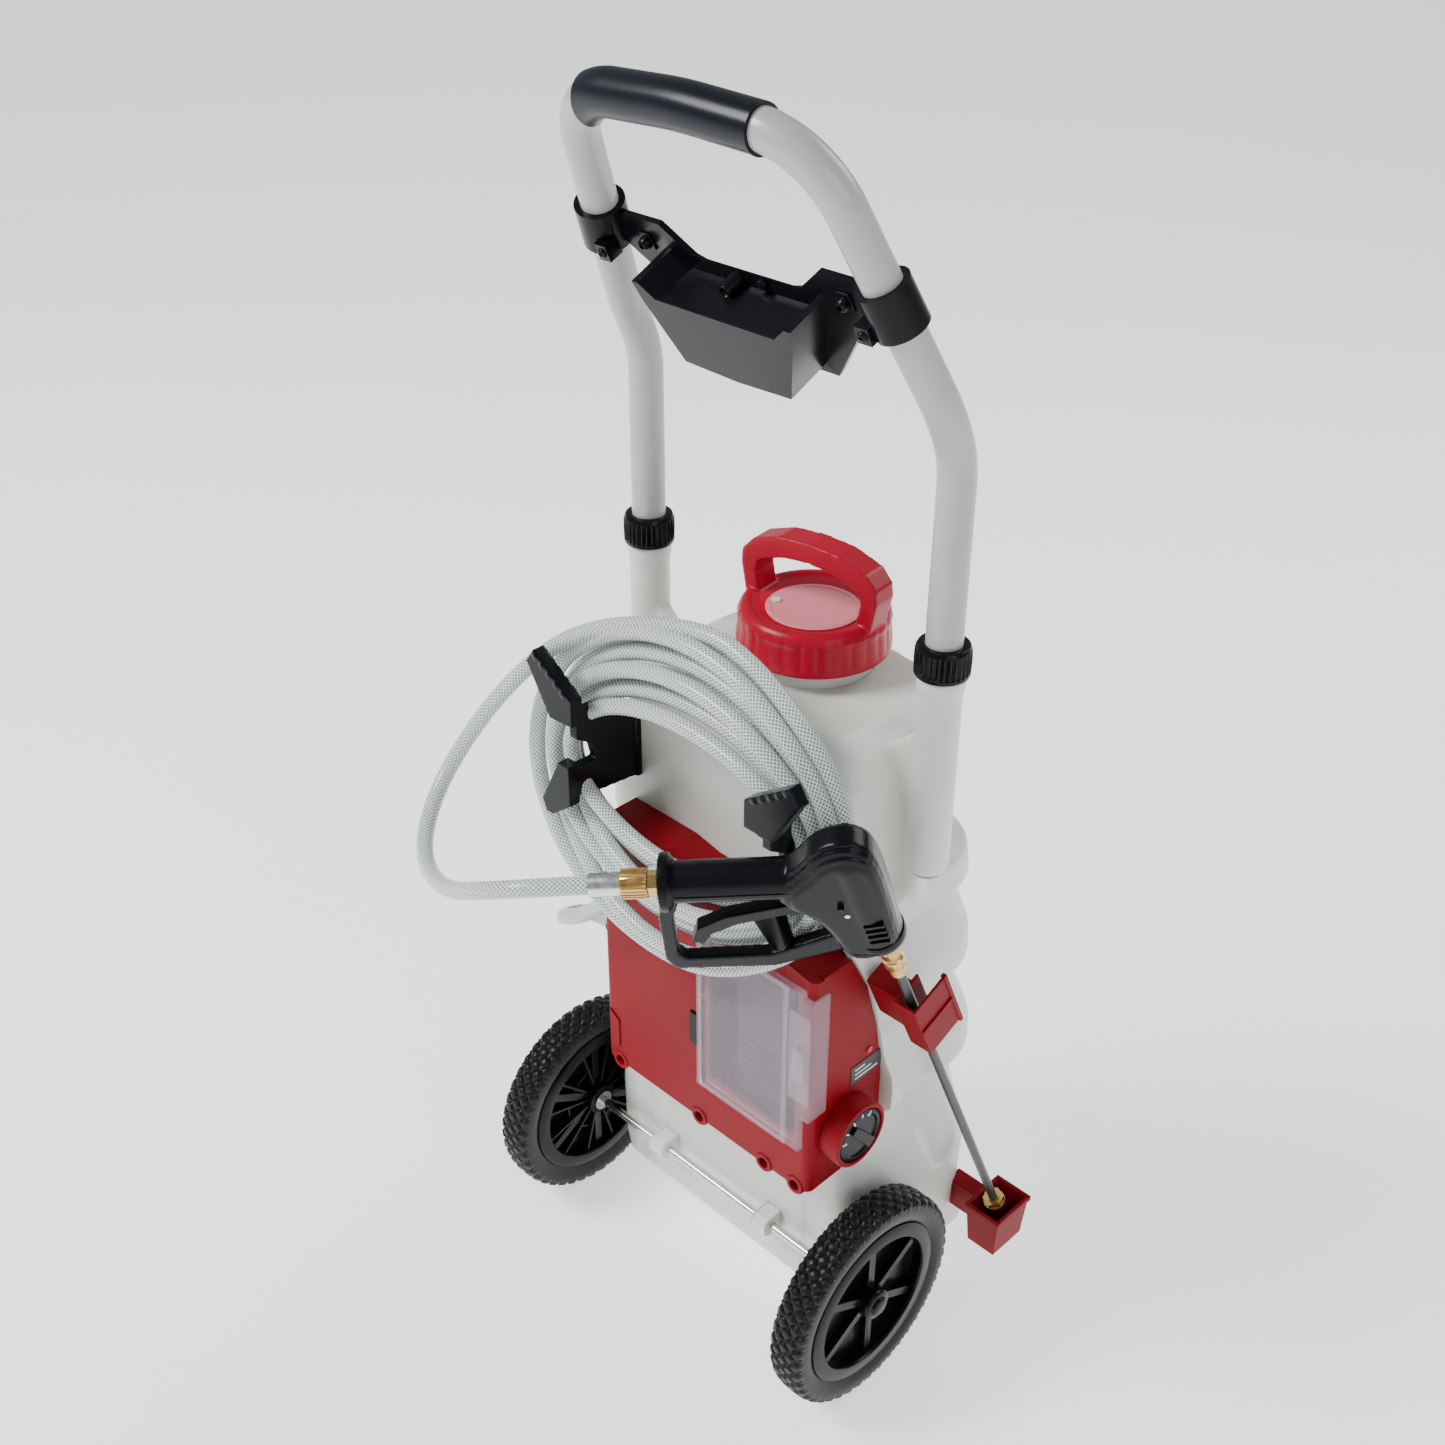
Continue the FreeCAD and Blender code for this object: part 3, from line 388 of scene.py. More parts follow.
def cut_by(holder, cutter):
    """Cuts one helper object's shape out of another."""
    carve = holder.modifiers.new("carve", "BOOLEAN")
    carve.operation, carve.solver, carve.object = "DIFFERENCE", "EXACT", cutter


def moulded(name, shape, voxel, smoothing, material, body, recesses=(), bores=(), **options):
    """Joins closed shapes as one moulding: recesses are cut before its edges are softened, bores after."""
    holder = loose_object(name + "_raw", shape)
    recesses = [loose_object(name + "_recess", cut) for cut in recesses]
    bores = [loose_object(name + "_bore", cut) for cut in bores]
    for recess in recesses:
        cut_by(holder, recess)
    join = holder.modifiers.new("join", "REMESH")
    join.mode, join.voxel_size = "VOXEL", voxel * MM
    soften = holder.modifiers.new("soften", "SMOOTH")
    soften.factor, soften.iterations = 0.5, smoothing
    for bore in bores:
        cut_by(holder, bore)
    seen = holder.evaluated_get(bpy.context.evaluated_depsgraph_get())
    mesh = bpy.data.meshes.new_from_object(seen)
    mesh.materials.clear()
    for helper in [holder] + recesses + bores:
        drop(helper)
    finish_piece(name, mesh, material, body, smooth_angle=60, **options)


# ------------------------------------------------------------ camera and stage
LENS, SENSOR = 44.146, 36.0
EYE = (827.4, -828.5, 1329.4)
VIEW_RIGHT = Vector((0.708729, 0.705474, 0.003084))
VIEW_UP = Vector((-0.373461, 0.371469, 0.850022))
VIEW_FORWARD = Vector((-0.598523, 0.603587, -0.526738))


def camera():
    """The camera where the photograph was taken from."""
    lens = bpy.data.cameras.new("camera")
    lens.sensor_width = lens.sensor_height = SENSOR
    lens.lens = LENS
    eye = bpy.data.objects.new("camera", lens)
    bpy.context.scene.collection.objects.link(eye)
    eye.matrix_world = axes(at(*EYE), VIEW_RIGHT, VIEW_UP, -VIEW_FORWARD)
    bpy.context.scene.camera = eye


def lamp(name, place, aim, size, watts, colour=(1, 1, 1)):
    """A square area light at a place in metres, turned to its aim."""
    light = bpy.data.lights.new(name, "AREA")
    light.shape, light.size = "SQUARE", size
    light.energy, light.color = watts, colour
    holder = bpy.data.objects.new(name, light)
    bpy.context.scene.collection.objects.link(holder)
    holder.location = place
    holder.rotation_euler = (Vector(aim) - Vector(place)).to_track_quat("-Z", "Y").to_euler()


def stage():
    """Pale floor, even surrounding light and three soft lamps."""
    floor_mesh = bpy.data.meshes.new("floor")
    reach = 12.0
    floor_mesh.from_pydata([(-reach, -reach, 0), (reach, -reach, 0), (reach, reach, 0), (-reach, reach, 0)],
                           [], [(0, 1, 2, 3)])
    floor = bpy.data.objects.new("floor", floor_mesh)
    bpy.context.scene.collection.objects.link(floor)
    paper = shader("floor_paper", (0.93, 0.93, 0.93), 0.9, Emission_Color=(1, 1, 1, 1),
                   Emission_Strength=0.95)
    vary(paper, 2.0, (0.92, 0.92, 0.92), (0.94, 0.94, 0.94))
    floor_mesh.materials.append(paper)
    world = bpy.data.worlds.new("studio")
    world.use_nodes = True
    world.node_tree.nodes["Background"].inputs["Color"].default_value = (0.93, 0.96, 1.0, 1)
    world.node_tree.nodes["Background"].inputs["Strength"].default_value = 0.36
    bpy.context.scene.world = world
    lamp("key", (-1.6, -2.0, 3.0), (0, 0, 0.5), 1.3, 140)
    lamp("fill", (2.6, -0.6, 1.8), (0, 0, 0.5), 1.6, 22, (0.93, 0.96, 1.0))
    lamp("back", (0.6, 2.4, 2.4), (0, 0, 0.6), 1.4, 34)


# ------------------------------------------------------------------------ hose
SUPPLY_ROUTE = [(-123, -8, 343), (-152, -8, 343), (-152, -50, 356), (-95, -60, 394), (-62, -62, 400)]
FREE_ROUTE = [(-70, -17, 684), (-120, -26, 655), (-175, -62, 599), (-212, -110, 514), (-172, -170, 486),
              (-90, -212, 505), (-10, -218, 552)]
GRIP_END, GRIP_LEAD = 190.0, 220.0
TURNS = 8
POINTS_PER_TURN = 18
INNER_TURN = (-122.0, 121.0, 497.0, 609.0)      # left, right, bottom and top of the centreline
OUTER_TURN = (-175.0, 155.0, 405.0, 689.0)
LAYERS = (-10.0, 0.0, 10.0)


def coil_points():
    """The hose's turns, from the bottom of the innermost to the top of the outermost."""
    points = []
    jitter = [random.uniform(-3.0, 3.0) for _ in range(TURNS + 2)]
    for index in range(TURNS * POINTS_PER_TURN - POINTS_PER_TURN // 2 + 1):
        turn = index / POINTS_PER_TURN
        angle = math.radians(-90.0 + 360.0 * turn)
        grown = turn / (TURNS - 0.5)
        left, right, bottom, top = (a + (b - a) * grown for a, b in zip(INNER_TURN, OUTER_TURN))
        wobble = jitter[int(turn)] * (1 - turn % 1) + jitter[int(turn) + 1] * (turn % 1)
        across, up = math.cos(angle), math.sin(angle)
        x = (left + right) / 2 + (right - left) / 2 * across
        z = (bottom + top) / 2 + ((top - bottom) / 2 + wobble) * up
        layer = int(turn) % len(LAYERS)
        following = LAYERS[(layer + 1) % len(LAYERS)]
        depth = LAYERS[layer] + (following - LAYERS[layer]) * max(0.0, turn % 1 * 4 - 3)
        behind_gun = 16.0 * max(0.0, math.cos(2.2 * (angle % (2 * math.pi) - math.radians(332)))) \
            if across > 0.3 else 0.0
        y = -35.0 + 0.2 * (z - 547.0) + depth + behind_gun
        points.append((x, y, z))
    return points


def hose_line():
    """The whole hose's centreline, read from one smooth NURBS curve."""
    lead = [tuple(GRIP @ Vector((0, 0, t))) for t in (GRIP_LEAD, GRIP_END)]
    route = SUPPLY_ROUTE[:-1] + coil_points() + FREE_ROUTE[1:] + lead
    curve = bpy.data.curves.new("hose_route", "CURVE")
    curve.dimensions = "3D"
    spline = curve.splines.new("NURBS")
    spline.points.add(len(route) - 1)
    for control, point in zip(spline.points, route):
        control.co = (*at(*point), 1)
    spline.order_u = 3
    spline.use_endpoint_u = True
    spline.resolution_u = 6
    holder = bpy.data.objects.new("hose_route", curve)
    bpy.context.scene.collection.objects.link(holder)
    line = bpy.data.meshes.new_from_object(holder)
    path = [vertex.co.copy() for vertex in line.vertices]
    bpy.data.objects.remove(holder)
    bpy.data.meshes.remove(line)
    return path


def tube_mesh(name, path, radius):
    """A closed tube along a path in metres, with a UV of length in metres by turn."""
    sides = 14
    tube = bmesh.new()
    uv = tube.loops.layers.uv.new("braid")
    tangents = [(b - a).normalized() for a, b in zip(path, path[1:])]
    tangents.append(tangents[-1])
    side = tangents[0].orthogonal().normalized()
    rings, lengths, length = [], [], 0.0
    for index, (point, tangent) in enumerate(zip(path, tangents)):
        side = (side - tangent * side.dot(tangent)).normalized()
        across = tangent.cross(side)
        length += (point - path[index - 1]).length if index else 0.0
        lengths.append(length)
        rings.append([tube.verts.new(point + (side * math.cos(a) + across * math.sin(a)) * radius)
                      for a in (2 * math.pi * k / sides for k in range(sides))])
    for (near, far), (start, end) in zip(zip(rings, rings[1:]), zip(lengths, lengths[1:])):
        for k in range(sides):
            face = tube.faces.new((near[k], near[(k + 1) % sides], far[(k + 1) % sides], far[k]))
            turns = (k / sides, (k + 1) / sides, (k + 1) / sides, k / sides)
            for loop, turn, along in zip(face.loops, turns, (start, start, end, end)):
                loop[uv].uv = (along, turn)
    tube.faces.new(rings[0][::-1])
    tube.faces.new(rings[-1])
    mesh = bpy.data.meshes.new(name)
    tube.to_mesh(mesh)
    tube.free()
    return mesh, length


def hose():
    """The braided hose, from the cover's outlet round the hooks to the gun."""
    path = hose_line()
    mesh, length = tube_mesh("hose", path, HOSE_D / 2 * MM)
    piece = finish_piece("hose", mesh, "hose", "chassis", replaced=("hose_supply", "hose_coil", "hose_free"),
                         smooth_angle=80)


# ------------------------------------------------------------------------ tank
SOCKET_R, SOCKET_Z0, SOCKET_Z1 = 17.0, 501.0, 681.7
NECK_Y = 110.0
TANK_FRONT = 12.0
AXLE_SADDLE_X = (-72.0, 62.0)
# z, half width, back, front corner radius, back corner radius: three flared tiers and the shoulder
TANK_TIERS = [
    (34, 128, 192, 12, 44), (44, 140, 203, 16, 54), (62, 147, 210, 18, 58), (130, 149, 212, 18, 60),
    (241, 138, 188, 18, 58), (247, 138, 188, 18, 58), (257, 151, 205, 20, 64), (285, 151, 203, 20, 64),
    (350, 139, 177, 18, 58), (355, 139, 177, 18, 58), (365, 151, 193, 20, 64), (392, 151, 190, 20, 64),
    (440, 141, 174, 18, 60), (445, 141, 174, 18, 60), (455, 151, 182, 20, 62), (482, 149, 179, 20, 62),
    (494, 132, 172, 18, 60), (508, 127, 172, 18, 60), (586, 126, 172, 18, 60), (604, 118, 171, 18, 58),
    (618, 100, 166, 14, 54)]


def tank_outline(half, front, back, front_r, back_r, z):
    """Corners of a rounded rectangle, as points on four arcs."""
    points, steps = [], 8
    for x, y, radius, start in ((half, front, front_r, -90), (half, back, back_r, 0),
                                (-half, back, back_r, 90), (-half, front, front_r, 180)):
        centre_x = x - math.copysign(radius, x)
        centre_y = y + radius if y == front else y - radius
        for step in range(steps + 1):
            s, c = sin_cos(start + 90 * step / steps)
            points.append((centre_x + radius * c, centre_y + radius * s, z))
    return points


def tank_body():
    """The tiers, the neck, and for each side a leg socket with its web and a foot."""
    shape = bmesh.new()
    rings = []
    for z, half, back, front_r, back_r in TANK_TIERS:
        front = TANK_FRONT + (16 * (z - 590) / 28 if z > 590 else 12 if z < 40 else 0)
        rings.append([shape.verts.new(p) for p in tank_outline(half, front, back, front_r, back_r, z)])
    skin_rings(shape, rings)
    upright = Matrix.Translation((0, NECK_Y, 0))
    lathe(shape, [(0, 600), (57, 600), (59, 622), (56, 626), (56, 652), (54, 660), (0, 660)], upright)
    for side in (1, -1):
        leg = Matrix.Translation((side * TUBE_X, TUBE_Y, 0))
        lathe(shape, [(0, SOCKET_Z0 - 4), (9, SOCKET_Z0 - 1), (15, SOCKET_Z0 + 6), (SOCKET_R, SOCKET_Z0 + 15),
                      (SOCKET_R, 669), (SOCKET_R + 1.6, 671), (SOCKET_R + 1.6, SOCKET_Z1),
                      (0, SOCKET_Z1)], leg, 48)
        web = [(side * x, z) for x, z in ((104, 470), (152, 470), (152, 640), (118, 606))]
        prism(shape, web, -83, -68, FRONT)
        block(shape, *sorted((side * 82, side * 132)), 150, 206, 0, 60)
    return shape


def tank():
    """The tank, with the lance's groove, two hollows, the pump's pocket and the bores."""
    groove = bmesh.new()
    prism(groove, [(150, -15), (156, -19), (462, -19), (470, -12), (470, 12), (462, 19), (156, 19),
                   (150, 15)], -49, -30, CLIP)
    for side in (1, -1):
        hollow = [(side * x, z) for x, z in ((-118, 40), (-96, 62), (-96, 190), (-118, 196))]
        prism(groove, hollow, -14, -8, FRONT)
    bores = bmesh.new()
    block(bores, -104, 128, 0, 66, 219, 469)
    cheek = bmesh.new()
    prism(cheek, [(-30, 217), (50, 217), (58.5, 229), (58.5, 297), (49.5, 351), (34.5, 401), (13.5, 442),
                  (0, 448), (-30, 448)], 127, 170, SIDE)
    for x in (TUBE_X, -TUBE_X):
        lathe(bores, [(0, SOCKET_Z0 + 3), (14.5, SOCKET_Z0 + 3), (14.5, 700), (0, 700)],
              Matrix.Translation((x, TUBE_Y, 0)), 48)
    lathe(bores, [(0, 566), (51, 566), (51, 700), (0, 700)], Matrix.Translation((0, NECK_Y, 0)))
    moulded("tank_shell_skin", tank_body(), 3.0, 5, "tank", "chassis", recesses=[groove],
            bores=[bores, cheek], replaced=("tank_shell",))


def axle_saddles():
    """White saddles, with a rib each side, that hold the axle on the tank's face."""
    for index, x in enumerate(AXLE_SADDLE_X):
        shape = bmesh.new()
        profile = [(12, 90), (-4, 91), (-9, 95), (-9.5, 104), (-5, 109), (12, 110)]
        prism(shape, profile, x - 8, x + 8, SIDE)
        for rib in (-9, 7):
            prism(shape, [(12, 89), (-4.6, 90), (-9.6, 94.4), (-10.2, 104.4), (-5.6, 110), (12, 111.4)],
                  x + rib, x + rib + 2, SIDE)
        replaced = ("axle_clips",) if index == 0 else ()
        from_bmesh("axle_saddle_%d" % index, shape, "clip_white", "chassis", replaced=replaced, bevel=1.0)


# ---------------------------------------------------------------------- wheels
TREAD_CELLS, TREAD_PITCH = 22, 14.0             # diamonds in half a turn, and their pitch across
TREAD_HEIGHT, TREAD_GROOVE = 2.4, 0.18          # height of a block, and the groove's share of a cell


def tread(angle, across):
    """Share of a block's height, in the lattice of diamonds, at an angle and a place across the tyre."""
    lattice = []
    for direction in (1, -1):
        phase = TREAD_CELLS * angle / math.pi + direction * across / TREAD_PITCH
        lattice.append(abs((phase % 1.0) - 0.5) * 2)
    return min(1.0, max(0.0, (min(lattice) - TREAD_GROOVE) / TREAD_GROOVE))


def tyre(side, suffix):
    """Tyre section carried round the wheel, with the lattice cut into its crown and shoulders."""
    shape, around = bmesh.new(), 480
    wheel = facing_x(side * WHEEL_X, 0, WHEEL_R)
    half = WHEEL_W / 2
    section = [(78, -half + 3), (84, -half), (90, -half - 0.3), (94, -half + 0.2)]
    section += [(98.0 - 4.0 * (abs(w) / half) ** 4, w) for w in (-15.8 + 1.58 * k for k in range(21))]
    section += [(94, half - 0.2), (90, half + 0.3), (84, half), (78, half - 3)]
    columns = []
    for step in range(around):
        angle = 2 * math.pi * step / around
        column = []
        for radius, w in section:
            reach = radius + (TREAD_HEIGHT * tread(angle, w) if radius > 93.9 else 0.0)
            point = Vector((reach * math.cos(angle), reach * math.sin(angle), w))
            column.append(shape.verts.new(wheel @ point))
        columns.append(column)
    for near, far in zip(columns, columns[1:] + columns[:1]):
        for row in range(len(section)):
            onward = (row + 1) % len(section)
            shape.faces.new((near[row], near[onward], far[onward], far[row]))
    name = "tyre_" + suffix
    from_bmesh(name + "_skin", shape, "tyre", "wheel_" + suffix, replaced=(name,), smooth_angle=50)


def wheel_details(side, suffix):
    """Fins on the rim's inner face, a bead round each face and the stepped hub cap."""
    body = "wheel_" + suffix
    wheel = axes((side * WHEEL_X, 0, WHEEL_R), (0, 1, 0), (0, 0, side), (side, 0, 0))
    fins = bmesh.new()
    for index in range(12):
        turn = Matrix.Rotation(math.radians(30 * index + 15), 4, "Z")
        block(fins, 14, 67, -1.2, 1.2, -13.5, -2, wheel @ turn)
    lathe(fins, [(34, -10), (36, -10), (36, -2), (34, -2)], wheel, 72, bored=True)
    from_bmesh("rim_fins_" + suffix, fins, "black_plastic", body, bevel=0.4)
    beads = bmesh.new()
    lathe(beads, [(64, 15), (65, 16.4), (75, 16.4), (77.5, 15), (77.5, 13), (64, 13)], wheel, 96, bored=True)
    lathe(beads, [(64, -13), (77.5, -13), (77.5, -15), (75, -16.4), (65, -16.4), (64, -15)], wheel, 96,
          bored=True)
    from_bmesh("rim_beads_" + suffix, beads, "black_plastic", body)
    cap = bmesh.new()
    lathe(cap, [(0, 23.4), (7.5, 23.2), (8.6, 22.4), (9, 20.6), (13, 20.2), (14.4, 19), (15, 16.6), (15, 15),
                (12.2, 15), (12, 17), (0, 17)], wheel, 48)
    from_bmesh("hub_cap_skin_" + suffix, cap, "black_plastic", body, replaced=("hub_cap_" + suffix,),
               smooth_angle=50)


# ---------------------------------------------------------------------- handle
def collar(side, suffix):
    """Twist collar with vertical grip ribs between two plain rims."""
    place = Matrix.Translation((side * TUBE_X, TUBE_Y, COLLAR_Z))

    def ribs(angle, radius, height):
        return 0.9 * math.cos(30 * angle) if radius > 19.5 and 3 < height < 21.5 else 0.0
    shape = bmesh.new()
    profile = [(17.1, 0), (20.6, 0), (21, 0.8), (21, 3), (20.2, 4), (20.4, 12), (20.2, 20.6), (20.6, 22),
               (19.4, 24.4), (18, 25), (14.4, 25), (14.3, 16), (17.1, 16)]
    lathe(shape, profile, place, 240, ribs, bored=True)
    from_bmesh("twist_collar_skin_" + suffix, shape, "black_plastic", "collar_" + suffix,
               replaced=("twist_collar_" + suffix,))


def screw_head(into, place, radius, height=2.6):
    """Pan head with a round recess."""
    lathe(into, [(0, 0), (radius, 0), (radius, height * 0.45), (radius * 0.8, height * 0.85),
                 (radius * 0.45, height), (radius * 0.38, height * 0.5), (0, height * 0.5)], place, 24)


def tray_details():
    """Two bosses and two pads on the tray's plate, and the heads of the tray's and clamps' screws."""
    shape = bmesh.new()
    boss = HOOP @ Matrix.Translation((-8, 108, 0))
    lathe(shape, [(0, 0), (7, 0), (6.4, 8), (5.4, 15), (4.2, 16), (3, 14), (0, 14)], boss, 32)
    lathe(shape, [(0, 0), (4.6, 0), (4.2, 3.4), (0, 3.8)], HOOP @ Matrix.Translation((17, 111, 0)), 24)
    for side in (1, -1):
        prism(shape, [(side * 94 - 7, 112), (side * 94 + 7, 112), (side * 94 + 5, 126), (side * 94 - 5, 126)],
              0, 1.6, HOOP)
    from_bmesh("tray_details", shape, "black_plastic", "handle", bevel=0.5)
    heads = bmesh.new()
    for side in (1, -1):
        screw_head(heads, HOOP @ Matrix.Translation((side * 94, 118, 0)), 5.2, 7.5)
        screw_head(heads, HOOP @ Matrix.Translation((side * 124, 115, 20.6)), 4.0)
    from_bmesh("tray_screw_heads", heads, "black_plastic", "handle", replaced=("tray_screws",))


# ------------------------------------------------------------------------- lid
def lid():
    """Fluted skirt, dished top and arched handle as one moulding."""
    base = Matrix.Translation((0, NECK_Y, LID_Z))

    def flutes(angle, radius, height):
        return 1.5 * abs(math.cos(14 * angle)) ** 0.4 if radius > 60 and 6 < height < 29 else 0.0
    shape = bmesh.new()
    profile = [(0, 27.5), (56.5, 27.5), (56.5, 0), (62.6, 0), (63.4, 2), (63.2, 5), (61.8, 7), (61.0, 15),
               (60.2, 24), (61.2, 28), (60.4, 33), (57.6, 36), (52, 36.6), (49, 34.4), (30, 34.4), (0, 34.8)]
    lathe(shape, profile, base, 200, flutes)
    turn = base @ Matrix.Translation((0, 0, 33)) @ Matrix.Rotation(math.radians(7), 4, "Z") @ FRONT
    outer = [(-59, -6), (-65, 24), (-64, 36), (-54, 47), (-28, 56), (0, 58), (28, 56), (54, 47), (64, 36),
             (65, 24), (59, -6)]
    inner = [(-45, -6), (-50, 20), (-49, 28), (-42, 33), (-22, 39), (0, 41), (22, 39), (42, 33), (49, 28),
             (50, 20), (45, -6)]
    ring = [shape.verts.new(turn @ Vector((u, v, w))) for w in (-12.5, 12.5) for u, v in outer + inner[::-1]]
    count = len(outer) + len(inner)
    shape.faces.new(ring[:count][::-1])
    shape.faces.new(ring[count:])
    for k in range(count):
        before = (k - 1) % count
        shape.faces.new((ring[before], ring[k], ring[count + k], ring[count + before]))
    vent = bmesh.new()
    lathe(vent, [(0, 20), (4.1, 20), (4.1, 60), (0, 60)], Matrix.Translation((-24, NECK_Y - 20, LID_Z)), 24)
    moulded("tank_lid_skin", shape, 1.2, 4, "lid_red", "lid", bores=[vent], replaced=("tank_lid",))
    disc = bmesh.new()
    lathe(disc, [(0, 34.2), (38, 34.2), (38.6, 35.2), (37.6, 36), (34, 36), (33.4, 35.4), (0, 35.6)],
          base @ Matrix.Translation((4, -6, 0)), 96)
    from_bmesh("lid_inset_disc", disc, "pale_red", "lid")


# ------------------------------------------------------------ pump cover, door
COVER_X1, COVER_FRONT = 138.0, -31.0
COVER_SCREW_X, COVER_SCREW_Z = (-92.0, 10.0, 88.0, 124.0), 215.0
KNOB_Y, KNOB_Z = 11.0, 266.0


def cover_details():
    """Screw bosses, a corner pad and the collar round the pressure knob."""
    shape = bmesh.new()
    for x in COVER_SCREW_X:
        lathe(shape, [(5.2, -1.2), (8.6, -1.2), (9.6, 0.6), (9.6, 8), (5.2, 8)],
              axes((x, COVER_FRONT, COVER_SCREW_Z), (1, 0, 0), (0, 0, -1), (0, 1, 0)), 40, bored=True)
    prism(shape, [(-104, 221), (-92, 232), (-92, 262), (-104, 270)], 30, 32.4, FRONT)
    lathe(shape, [(29.2, 0), (30.6, 1), (30.6, 17), (29, 20.6), (26.6, 20.8), (26.2, 18), (26.2, 12),
                  (29.2, 12)], facing_x(COVER_X1, KNOB_Y, KNOB_Z), 96, bored=True)
    from_bmesh("cover_details", shape, "cover_red", "chassis", bevel=0.4)


def dial():
    """Pressure knob with a finger bar, the white marks on its face and the bars on the plate above."""
    place = facing_x(150.3, KNOB_Y, KNOB_Z)
    shape = bmesh.new()
    lathe(shape, [(0, 0), (25.4, 0), (25.4, 6), (24.6, 7.4), (21, 8), (19.6, 6.2), (0, 6.2)], place, 96)
    prism(shape, [(-5, -18), (5, -18), (3.6, 18), (-3.6, 18)], 6, 11, place @ Matrix.Rotation(0.7, 4, "Z"))
    lathe(shape, [(0, -21), (4, -21), (4, 1), (0, 1)], place, 24)
    from_bmesh("pressure_knob_skin", shape, "black_plastic", "knob", replaced=("pressure_knob",), bevel=0.5)
    marks = bmesh.new()
    for index in range(5):
        turn = Matrix.Rotation(math.radians(62 + 27 * index), 4, "Z")
        length = 3.2 if index % 2 else 5.0
        block(marks, 23.4 - length, 23.4, -0.7, 0.7, 6.2, 8.3, place @ turn)
    from_bmesh("dial_marks", marks, "white_print", "knob")
    label = bmesh.new()
    for row in range(3):
        low, high, end = 307 + 4.6 * row, 308.4 + 4.6 * row, 51 - 8 * row
        block(label, 23, end, low, high, COVER_X1 + 0.5, COVER_X1 + 0.8, SIDE)
    from_bmesh("gauge_plate_bars", label, "white_print", "chassis")


def door_details():
    """Border, latch column and pull tab of the clear battery door."""
    shape = bmesh.new()
    face = -COVER_FRONT + 0.3
    for x0, x1, z0, z1 in ((14, 19, 262, 430), (112, 117, 262, 430),
                           (19, 112, 262, 267), (19, 112, 425, 430)):
        block(shape, x0, x1, z0, z1, face + 5.6, face + 7.2, FRONT)
    from_bmesh("door_frame", shape, "door_clear", "door", bevel=0.4)
    latch = bmesh.new()
    block(latch, 119, 141, 318, 410, face + 5.6, face + 7.6, FRONT)
    prism(latch, [(124, 344), (138, 344), (136, 376), (126, 376)], face + 7.4, face + 11, FRONT)
    from_bmesh("door_latch", latch, "door_clear", "door", bevel=0.8)


def battery():
    """Battery pack with rounded edges, six ribs and a raised panel."""
    shape = bmesh.new()
    block(shape, 46, 111, 270, 421, -60, 22, FRONT)
    for index in range(6):
        z = 292 + 7 * index
        block(shape, 52, 105, z, z + 3, 21.5, 23, FRONT)
    block(shape, 54, 103, 350, 404, 21.5, 22.6, FRONT)
    from_bmesh("battery_skin", shape, "battery_case", "chassis", replaced=("battery",), bevel=1.5)


# ------------------------------------------------------------------- gun, clip
def eased(points):
    """Cuts a polygon's corners twice, so that its outline runs in curves."""
    for _ in range(2):
        points = [tuple(a + (b - a) * share for a, b in zip(here, onward))
                  for here, onward in zip(points, points[1:] + points[:1]) for share in (0.25, 0.75)]
    return points


def gun_body():
    """The CAD gun with a fuller head that runs into the grip, slotted again for the trigger."""
    shape = cad_shape("gun_body")
    head = [(-70, 9), (-62, 26), (-50, 36), (-34, 60), (-12, 60), (2, 44), (30, 34), (62, 30), (76, 20),
            (66, -14), (14, -18), (-51, -20), (-68, -8)]
    for half, scale in ((9, 1.0), (13, 0.95), (16, 0.88), (17.5, 0.78)):
        prism(shape, [(u * scale, 8 + (v - 8) * scale) for u, v in eased(head)], -half, half, GUN)
    slot = bmesh.new()
    block(slot, -10, 26, 8, 70, -6.6, 6.6, GUN)
    muzzle = GUN @ facing_x(70)
    lathe(slot, [(0, -30), (6.2, -30), (6.2, 12), (0, 12)], muzzle)
    moulded("gun_body_skin", shape, 1.2, 14, "black_plastic", "chassis", bores=[slot], replaced=("gun_body",))


def gun_details():
    """Muzzle ring, vents, seams along the grip, and the flange at its butt."""
    shape = bmesh.new()
    head = GUN @ facing_x(0, 2, 0)
    lathe(shape, [(17, 49), (19.8, 49), (20.4, 52), (20.4, 56), (19, 58.6), (17, 58.6)], head, 64, bored=True)
    for side in (1, -1):
        for t in range(4):
            block(shape, 18 + 7 * t, 21 + 7 * t, -9, 6, *sorted((side * 17, side * 20.4)), GUN)
        block(shape, 10, 130, -2, 2, *sorted((side * 14.6, side * 16.2)),
              GRIP @ axes((0, 0, 0), (0, 0, 1), (1, 0, 0), (0, 1, 0)))
    from_bmesh("gun_details", shape, "black_plastic", "chassis", bevel=0.5)
    flange = bmesh.new()
    lathe(flange, [(5, 133), (17, 131), (21.4, 134), (22, 136.5), (21.4, 140), (19, 141), (5, 141)], GRIP,
          64, bored=True)
    from_bmesh("gun_butt_flange", flange, "black_plastic", "chassis")


def knurled(name, node, place, profile, ribs, depth, body):
    """A turned brass fitting with grooves along its widest part."""
    def grooves(angle, radius, height):
        return -depth if radius == profile_top and math.cos(ribs * angle) < -0.2 else 0.0
    profile_top = max(radius for radius, _ in profile)
    shape = bmesh.new()
    lathe(shape, profile, place, ribs * 6, grooves, bored=True)
    from_bmesh(name, shape, "brass", body, replaced=(node,))


